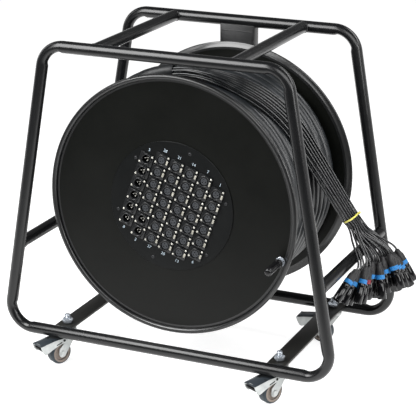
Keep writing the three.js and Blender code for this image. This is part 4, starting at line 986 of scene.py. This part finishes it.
def makeDrum():
    for word, away in (("front", -1), ("rear", 1)):
        rim = drum[word + "Rim"]
        disc = onAxis(turnOnAxis(f"{word}_disc", sheetProfile(rim, away, drum[word + "Hole"]), drum["steps"], 50))
        finishPiece(disc, "flange", "drum", "flange_paint", f"{word}_flange")
        edge = onAxis(turnOnAxis(f"{word}_rim", rimProfile(rim, away), drum["steps"], 60))
        # painted highlight: the rim takes a lighter, glossier copy of the flange paint
        finishPiece(edge, "rim", "drum", "flange_paint", f"{word}_flange")
    boss = [
        (22, 152.4), (33, 152.4), (34, 153.4), (34.3, 160.6), (36, 161.2), (68.5, 161.2), (70, 162), (70, 166.2),
        (35.7, 166.2), (35.7, 172.4), (35.1, 173), (31.3, 173), (31.3, 156.4), (22, 156.4),
    ]
    finishPiece(onAxis(turnOnAxis("hub_boss", boss, 64)), "castBlack", "drum", "black_metal", "rear_hub")
    bearing = [
        (15.4, 156.7), (18.6, 156.7), (19, 157.2), (19, 158), (26.6, 158), (26.6, 157.2), (27, 156.7), (30.6, 156.7),
        (31, 157.1), (31, 172.3), (30.6, 172.7), (27, 172.7), (26.6, 172.2), (26.6, 171.4), (19, 171.4), (19, 172.2),
        (18.6, 172.7), (15.4, 172.7),
    ]
    finishPiece(onAxis(turnOnAxis("hub_bearing", bearing, 64)), "steel", "drum", "steel", "rear_bearing")
    shaft = [
        (0, 20), (11.2, 20), (12, 20.8), (12, 42), (15, 42), (15, 173), (20, 173), (20, 180.7), (10, 180.7),
        (10, 184),
    ]
    for plane in range(184, 206, 2):  # the thread, as rings
        shaft += [(10, plane + 0.4), (10, plane + 0.8), (9.3, plane + 1.3), (9.3, plane + 1.6)]
    shaft += [(9.8, 207.2), (9, 208.3), (0, 208.3)]
    finishPiece(onAxis(turnOnAxis("axle_shaft", shaft, 40, 25)), "steel", "trolley", "steel", "spindle")
    finishPiece(onAxis(hexNut("axle_nut", 30, 185.3, 16, 10.3)), "zinc", "trolley", "zinc", "spindle_nut")
    print("drum made")


winding = {
    "radius": 228.7, "pitchRadius": 230, "cable": 13.75, "lay": 28, "turns": 10, "steps": 56, "start": 163,
    "front": -149.5, "back": 166.5, "coreRadius": 144.3, "coreFront": -149.2, "coreBack": 166.2, "coreLayers": 11,
}


def windingPoints():  # a helix between the flanges, with a short straight lead at each end
    lay, circle = winding["lay"], 2 * math.pi * winding["pitchRadius"]
    pitch = (winding["back"] - winding["front"] - 0.6 - lay) / (winding["turns"] + 2 * lay / circle)
    first = winding["back"] - 0.3 - lay / 2 - pitch * lay / circle
    points = []
    for step in range(winding["turns"] * winding["steps"] + 1):
        turns = step / winding["steps"]
        points.append(around(winding["radius"], winding["start"] - 360 * turns, first - pitch * turns))
    turn = math.radians(winding["start"])
    lead = Vector((math.sin(turn), -pitch / circle, -math.cos(turn))) * lay
    return [placed(point) for point in [points[0] - lead] + points + [points[-1] + lead]]


def makeWinding():
    cable = meshed(tubeAlong("wound_cable", windingPoints(), winding["cable"], sides=18))
    finishPiece(cable, "jacket", "drum", "jacket", "multicore_winding")
    radius, front, back, layers = (winding[key] for key in ("coreRadius", "coreFront", "coreBack", "coreLayers"))
    profile = [(radius, front), (204, front)]
    for layer in range(layers):
        middle = front + (back - front) * (layer + 0.5) / layers
        for tilt in map(math.radians, (-70, -45, -20, 0, 20, 45, 70)):
            profile.append((194 + 13.5 * math.cos(tilt), middle + 14 * math.sin(tilt)))
    inner = onAxis(turnOnAxis("inner_layers", profile + [(204, back), (radius, back)], 96, 60))
    finishPiece(inner, "jacket", "drum", "jacket", "winding_core")
    makeBreakout()
    print("winding made")


breakout = {"start": 163, "end": 97.5, "step": 1.5, "sunk": 229.5, "sleeve": 113, "top": 259.04, "lift": 156}


def breakoutPoint(angle):  # the cable's end rises out of the winding towards its sleeve
    rise = ease(breakout["lift"] - angle, 0, breakout["lift"] - breakout["sleeve"])
    return around(mix(breakout["sunk"], breakout["top"], rise), angle, bunchPlane(angle))


def makeBreakout():
    points = [placed(breakoutPoint(breakout["start"] - breakout["step"] * step)) for step in range(42)]
    cable = meshed(tubeAlong("cable_end", points, winding["cable"], sides=18))
    finishPiece(cable, "jacket", "trolley", "jacket", "multicore_breakout")
    stops = [  # degrees back from the sleeve's mouth, and radius
        (15.5, 13.9), (14.6, 14.5), (13, 15.1), (9, 15.6), (5, 15.6), (1.6, 15.6), (0.3, 15.5), (0, 15.1), (0, 14.3),
        (0.4, 14.2), (3.5, 14.2),
    ]
    rings = []
    for back, radius in stops:
        turn = math.radians(breakout["end"] + back)
        centre = breakoutPoint(breakout["end"] + back) + Vector((0, setBack, 0))
        out = Vector((math.cos(turn), 0, math.sin(turn)))
        rings.append([centre + (out * math.cos(t) + Vector((0, math.sin(t), 0))) * radius for t in roundTurn(32)])
    finishPiece(loft("end_sleeve", rings, 50), "sleeve", "trolley", "jacket")


makeDrum()
makeWinding()

# connector panel
panel = {
    "radius": 136, "front": -154.3, "back": -152.3, "tilt": 19.3, "pitch": 28, "columnPitch": 33,
    "counts": [6, 7, 7, 7, 7, 6], "males": [6, 2, 0, 0, 0, 0], "bore": 9.0, "screwRadius": 122,
}
plate = {"long": 15.5, "wide": 13, "face": -156.6, "back": -154.6, "corner": 3}


def panelMove(x, z, plane=0):
    tilt = Matrix.Rotation(math.radians(panel["tilt"]), 4, "Y")
    return Matrix.Translation(spot(0, 0, axisHeight)) @ tilt @ Matrix.Translation(Vector((x, plane, z)) * mm)


def panelPlace(column, row):
    count = panel["counts"][column]
    return (column - 2.5) * panel["columnPitch"], ((count - 1) / 2 - row) * panel["pitch"]


def connectorPlaces():
    for column, count in enumerate(panel["counts"]):
        for row in range(count):
            yield column, row, row >= count - panel["males"][column]


def plateOutline():
    corner, outline = plate["corner"], []
    for wayX, wayZ, start in ((1, 1, 0), (-1, 1, 90), (-1, -1, 180), (1, -1, 270)):
        for step in range(4):
            turn = math.radians(start + 30 * step)
            x = wayX * (plate["long"] - corner) + corner * math.cos(turn)
            outline.append((x, wayZ * (plate["wide"] - corner) + corner * math.sin(turn)))
    return outline


def boreHoles(piece, radius, places, start, end):
    for x, z in places:
        drill = moved(rodAlongY("drill", radius, start, end, 24 if radius > 3 else 12), x, 0, z)
        cut = piece.modifiers.new("hole", "BOOLEAN")
        cut.object = drill
        cut.operation = "DIFFERENCE"
        applyModifiers(piece)
        bpy.data.objects.remove(drill)


def contactPlaces(radius, start):
    turns = [math.radians(start + 120 * step) for step in range(3)]
    return [(radius * math.cos(turn), radius * math.sin(turn)) for turn in turns]


def makeConnectorParts():  # planes are counted from the plate's face, forwards negative
    face = plate["face"]

    def turned(name, profile, steps, angle=40):
        return turnOnAxis(name, [(radius, face + plane) for radius, plane in profile], steps, angle)

    def pressed(name, outline, front, depth, edge):
        return pressAlongY(name, outline, face + front, depth, edge)

    base = pressed("base", plateOutline(), 0, plate["back"] - face, 0.45)
    collar = turned("collar", [
        (9.4, 0), (12.4, 0), (12.3, -2.2), (11.8, -3.0), (11.2, -3.3), (10.1, -3.3), (9.5, -2.9), (9.4, -2.2),
    ], 36, 35)
    hood = pressed("hood", [(8.6, -6.4), (15.2, -6.2), (15.2, 6.2), (8.6, 6.4)], 0, -2.6, 0.7)
    floor = turned("floor", [(0, 0.4), (9.6, 0.4), (9.6, -0.2), (0, -0.2)], 32)
    insert = turned("insert", [(0, -0.1), (7.3, -0.1), (7.4, -2.0), (6.9, -2.5), (0, -2.5)], 32, 30)
    boreHoles(insert, 1.35, contactPlaces(3.6, 0), face - 4, face - 1.0)
    latches = [pressed("tab", oblong(11.2, 15.0, -4.4, 4.4), -2.6, -1.3, 0.5)]
    latches += [pressed("rib", oblong(left, left + 0.4, -3.7, 3.7), -3.8, -0.45, 0.15) for left in (11.6, 12.8, 14.0)]
    headProfile = [(0, 0), (2.15, 0), (2.05, -0.8), (1.4, -1.3), (0.8, -1.35), (0.7, -0.9), (0, -0.9)]
    heads = []
    for way in (-1, 1):
        head = turned("head", headProfile, 18, 30)
        heads.append(moved(head, way * 12, 0, way * 9.5))
    maleBase = pressed("base", plateOutline(), 0, plate["back"] - face, 0.45)
    boreHoles(maleBase, panel["bore"], [(0, 0)], face - 4, face + 4)
    cup = turned("cup", [
        (8.5, 1), (11.9, 0.2), (11.8, -1.1), (11.2, -1.7), (9.6, -1.7), (9.0, -1.2), (8.9, 13), (8.5, 13),
    ], 36, 35)
    key = pressed("key", oblong(9.1, 8.0, -1.1, 1.1), 1, 11, 0.1)
    pins = []
    for x, z in contactPlaces(3.5, 180):
        pins.append(moved(turned("pin", [(0, 12.2), (1.25, 12.2), (1.25, 4.8), (0.9, 4.1), (0, 3.9)], 12), x, 0, z))
    return {
        "shell": (joinAll("shell", [base, collar, hood, floor]), "socket"), "insert": (insert, "insert"),
        "latch": (joinAll("latch", latches), "latch"), "screws": (joinAll("screws", heads), "screw"),
        "maleShell": (joinAll("maleShell", [maleBase, cup, key]), "socket"),
        "cupFloor": (turned("cupFloor", [(0, 12), (8.9, 12), (8.9, 12.6), (0, 12.6)], 24), "hole"),
        "pins": (joinAll("pins", pins), "pin"),
    }


def makeConnectors():
    kinds = makeConnectorParts()
    made = {}
    for column, row, isMale in connectorPlaces():
        wanted = ["maleShell", "cupFloor", "pins", "screws"] if isMale else ["shell", "insert", "latch", "screws"]
        node = f"male_connector_{column + 1}_{row + 1}" if isMale else f"female_connectors_{column + 1}"
        move = panelMove(*panelPlace(column, row))
        for kind in wanted:
            made.setdefault((kind, column), []).append((copyOf(kinds[kind][0], move), node))
    for (kind, column), members in made.items():
        piece = joinAll(f"{kind}_{column + 1}", [member for member, node in members])
        nodes = {node for member, node in members} if kind in ("shell", "maleShell") else set()
        finishPiece(piece, kinds[kind][1], "drum", "black_metal", *sorted(nodes))
    for original, finish in kinds.values():
        bpy.data.objects.remove(original)
    print("connectors made:", sum(panel["counts"]))


def makePanel():
    radius, front, back = panel["radius"], panel["front"], panel["back"]
    profile = [(0, back), (radius, back), (radius, front + 0.5), (radius - 0.5, front), (0, front)]
    disc = turnOnAxis("panel_disc", profile, 144, 30)
    cups = [panelPlace(column, row) for column, row, isMale in connectorPlaces() if isMale]
    boreHoles(disc, panel["bore"], cups, front - 3, back + 3)
    smooth(disc, 30)
    disc.data.transform(panelMove(0, 0))
    finishPiece(disc, "panel", "drum", "panel_paint", "connector_panel")
    profile = [(0, 0), (3.6, 0), (3.4, -0.9), (2.4, -1.7), (1.4, -1.8), (1.2, -1.0), (0, -1.0)]
    screws = []
    for step in range(6):
        head = turnOnAxis("head", [(across, front + plane) for across, plane in profile], 20, 30)
        head.data.transform(Matrix.Translation(placed(around(panel["screwRadius"], 10 + 60 * step, 0))))
        screws.append(head)
    finishPiece(joinAll("panel_screws", screws), "castBlack", "drum", "panel_paint")
    makeNumbers()
    makeConnectors()


numbers = {
    "size": 9, "top": ["3", "28", "21", "14", "7", "1"], "bottom": ["8", "2", "27", "20", "13", "6"], "gap": 21,
}


def makeNumbers():  # one above and one below each column of connectors
    words = []
    for column in range(len(panel["counts"])):
        x, high = panelPlace(column, 0)
        for text, direction in ((numbers["top"][column], 1), (numbers["bottom"][column], -1)):
            deselectAll()
            bpy.ops.object.text_add()
            word = bpy.context.object
            word.data.body = text
            word.data.size = numbers["size"] * mm
            word.data.align_x = "CENTER"
            word.data.align_y = "CENTER"
            word.data.extrude = 0.05 * mm
            word.data.offset = 0.04 * mm
            bpy.ops.object.convert(target="MESH")
            word = tipped(bpy.context.object, 90)
            word.data.transform(panelMove(x, direction * (high + numbers["gap"]), panel["front"] - 0.08))
            words.append(word)
    finishPiece(joinAll("column_numbers", words), "print", "drum", "panel_paint")


makePanel()

# crank
crank = {"radius": 252.5, "angle": -19.4}


def makeCrank():
    seat = around(crank["radius"], crank["angle"], setBack)
    washer = [(4.3, -152.3), (9.4, -152.3), (10, -152.8), (10, -154.3), (9.4, -154.8), (4.3, -154.8)]
    stud = [(0, -212.8), (4, -212.8), (4, -144.4), (3.4, -143.4), (0, -143.2)]
    grip = [
        (4.5, -165.1), (9.1, -165.1), (9.5, -165.7), (9.5, -170.4), (9.1, -171.2), (8.2, -171.8), (8.0, -173),
        (8.3, -185), (8.5, -200), (8.5, -215), (8.3, -217.4), (7.6, -219.8), (6.2, -221.8), (4.3, -222.8),
        (2, -223.1), (0, -223.1), (0, -217), (4.5, -217),
    ]
    parts = [
        turnOnAxis("washer", washer, 36), hexNut("hex", 16, -164.8, 10, 4.2), hexNut("backNut", 16, -149.2, 6, 4.2),
        turnOnAxis("stud", stud, 20),
    ]
    bolt = moved(joinAll("crank_bolt", parts), *seat)
    finishPiece(bolt, "zinc", "drum", "zinc", "crank_stud")
    handle = moved(turnOnAxis("crank_handle", grip, 40, 50), *seat)
    finishPiece(handle, "grip", "crank", "black_plastic", "crank_grip")
    print("crank made")


makeCrank()

# cable tie
tie = {"width": 3.6, "wall": 1.1, "lockSize": 5, "lockHeight": 3.4, "squareness": 0.62, "room": 0.4, "overhang": 3.6}


def makeTie():
    halfWidth = tails["middle"] * bunch["tieSpread"] + tie["overhang"]
    halfDepth = bunch["tieDepth"] / 2 + tie["room"]

    def squared(value):
        return math.copysign(abs(value) ** tie["squareness"], value)

    def ring(distance, grow):
        points = []
        for turn in roundTurn(48):
            point = straightPoint(distance, squared(math.sin(turn)) * (halfDepth + grow))
            point.y += setBack - bunch["tieShift"] + squared(math.cos(turn)) * (halfWidth + grow)
            points.append(point)
        return points

    start, end = bunch["tieDistance"] - tie["width"] / 2, bunch["tieDistance"] + tie["width"] / 2
    wall = tie["wall"]
    low = wall * 0.7
    stops = [(start, 0), (start, low), (start + 0.4, wall), (end - 0.4, wall), (end, low), (end, 0), (start, 0)]
    band = loft("band", [ring(distance, grow) for distance, grow in stops], 45, closed=False)
    size, high = tie["lockSize"] / 2, tie["lockHeight"] / 2
    seat = straightPoint(bunch["tieDistance"], halfDepth + high + 0.4)
    seat.y += bunch["tieWidth"] * 0.36 + setBack - size
    along = Vector((straightAlong.x, 0, straightAlong.z)).normalized()
    corners = [seat + along * a * size + straightUp * b * high for a, b in ((-1, -1), (1, -1), (1, 1), (-1, 1))]
    lock = pressOut("lock", corners, (0, 2 * size, 0), 0.9)
    finishPiece(joinAll("tie_band", [band, lock]), "tie", "trolley", "yellow_plastic", "cable_tie")
    print("tie made")


makeTie()

# what stays from the frame gets its paint
kept = {
    "drum_barrel": "flange", "bearing_bulkhead": "castBlack", "front_bearing": "steel", "spindle_end_nut": "zinc",
    "wiring_loom": "jacket",
}
for node, finish in kept.items():
    paint(bpy.data.objects[node], finish)


# floor, background and light
def addFloor():
    deselectAll()
    bpy.ops.mesh.primitive_plane_add(size=40, location=(0, 0, -0.0005))
    floor = bpy.context.object
    floor.name = "floor"
    bpy.ops.object.transform_apply(location=True, rotation=True, scale=True)
    finish = Finish("floor", Roughness=0.85, Specular_IOR_Level=0.1)
    # white to the camera; as the flange mirrors it, the floor takes painted shade well in front of the drum: its
    # colour darkens there, with a little random speckle, and so does the glow that mirrors see
    shade = finish.spread(finish.part(finish.coords, "Y"), -0.35, -1.1)
    # painted shade, with a little random speckle, darkens the floor's colour in front of the drum
    wearAndPaintedShade = shade * 0.94 + finish.noise(4, 2, 0.5) * 0.06
    finish.into(Base_Color=finish.blend(wearAndPaintedShade, (0.62, 0.62, 0.62), (0.22, 0.22, 0.22)))
    mirrored = finish.ray("Is Glossy Ray") + finish.ray("Is Transmission Ray")
    # painted shade: the glow that mirrors see dims well in front of the drum
    strength = finish.ray("Is Camera Ray") * 0.8 + mirrored * (0.8 - shade * 0.74)
    glow = finish.add("ShaderNodeEmission", {}, {"Color": (1, 1, 1, 1), "Strength": strength})
    both = finish.add("ShaderNodeAddShader", {}, {0: Wire(finish, finish.shader.outputs[0]), 1: glow})
    finish.feed(finish.tree.nodes["Material Output"].inputs["Surface"], both)
    floor.data.materials.append(finish.material)


def addWorld():
    world = bpy.data.worlds.new("studio")
    bpy.context.scene.world = world
    world.use_nodes = True
    world.node_tree.nodes.remove(world.node_tree.nodes["Background"])
    sky = Shading(world.node_tree)
    # the camera sees plain white; glossy rays see white round the horizon behind, dim overhead and in
    # front; the rest is a plain fill
    way = sky.add("ShaderNodeTexCoord", {}, {}, "Generated")
    band = sky.spread(sky.part(way, "Z"), 0.0, 0.2, 1, 0.12) * sky.spread(sky.part(way, "Y"), -0.2, 0.5, 0.35, 1)
    camera = sky.ray("Is Camera Ray")
    mirrored = sky.maths("MAXIMUM", sky.ray("Is Glossy Ray"), sky.ray("Is Transmission Ray"))
    strength = camera + (1 - camera) * (mirrored * band + (1 - mirrored) * 0.26)
    glow = sky.add("ShaderNodeBackground", {}, {"Color": (1, 1, 1, 1), "Strength": strength})
    sky.feed(world.node_tree.nodes["World Output"].inputs["Surface"], glow)


def addLamps():
    lamps = {
        "key": {"place": (-0.82, -1.26, 1.73), "aim": (-0.12, -0.1, 0.5), "size": (1.2, 1.6), "power": 63},
        "front": {"place": (0.98, -0.95, 1.5), "aim": (0.19, 0.1, 0.57), "size": (1.3, 0.9), "power": 15},
        "left": {"place": (-2.6, 0.4, 1.5), "aim": (0, 0, 0.4), "size": (1.6, 1.0), "power": 8},
        "right": {"place": (2.2, -0.6, 1.04), "aim": (0.3, 0, 0.4), "size": (0.9, 0.7), "power": 15},
        "back": {"place": (1.35, 0.97, 1.64), "aim": (0.17, 0, 0.5), "size": (1.9, 0.6), "power": 18},
    }
    for name, lamp in lamps.items():
        bpy.ops.object.light_add(type="AREA", location=lamp["place"])
        light = bpy.context.object
        light.name = f"softbox {name}"
        light.data.shape = "RECTANGLE"
        light.data.size, light.data.size_y = lamp["size"]
        light.data.energy = lamp["power"]
        back = (Vector(lamp["place"]) - Vector(lamp["aim"])).normalized()
        across = Vector((1, 0.001, 0)) - back * back.x if abs(back.x) < 0.8 else Vector((0, 1, 0)).cross(back)
        light.rotation_euler = aimed(back, across.normalized())


addFloor()
addWorld()
addLamps()
bpy.context.scene.view_settings.view_transform = "Standard"
print("stage made")
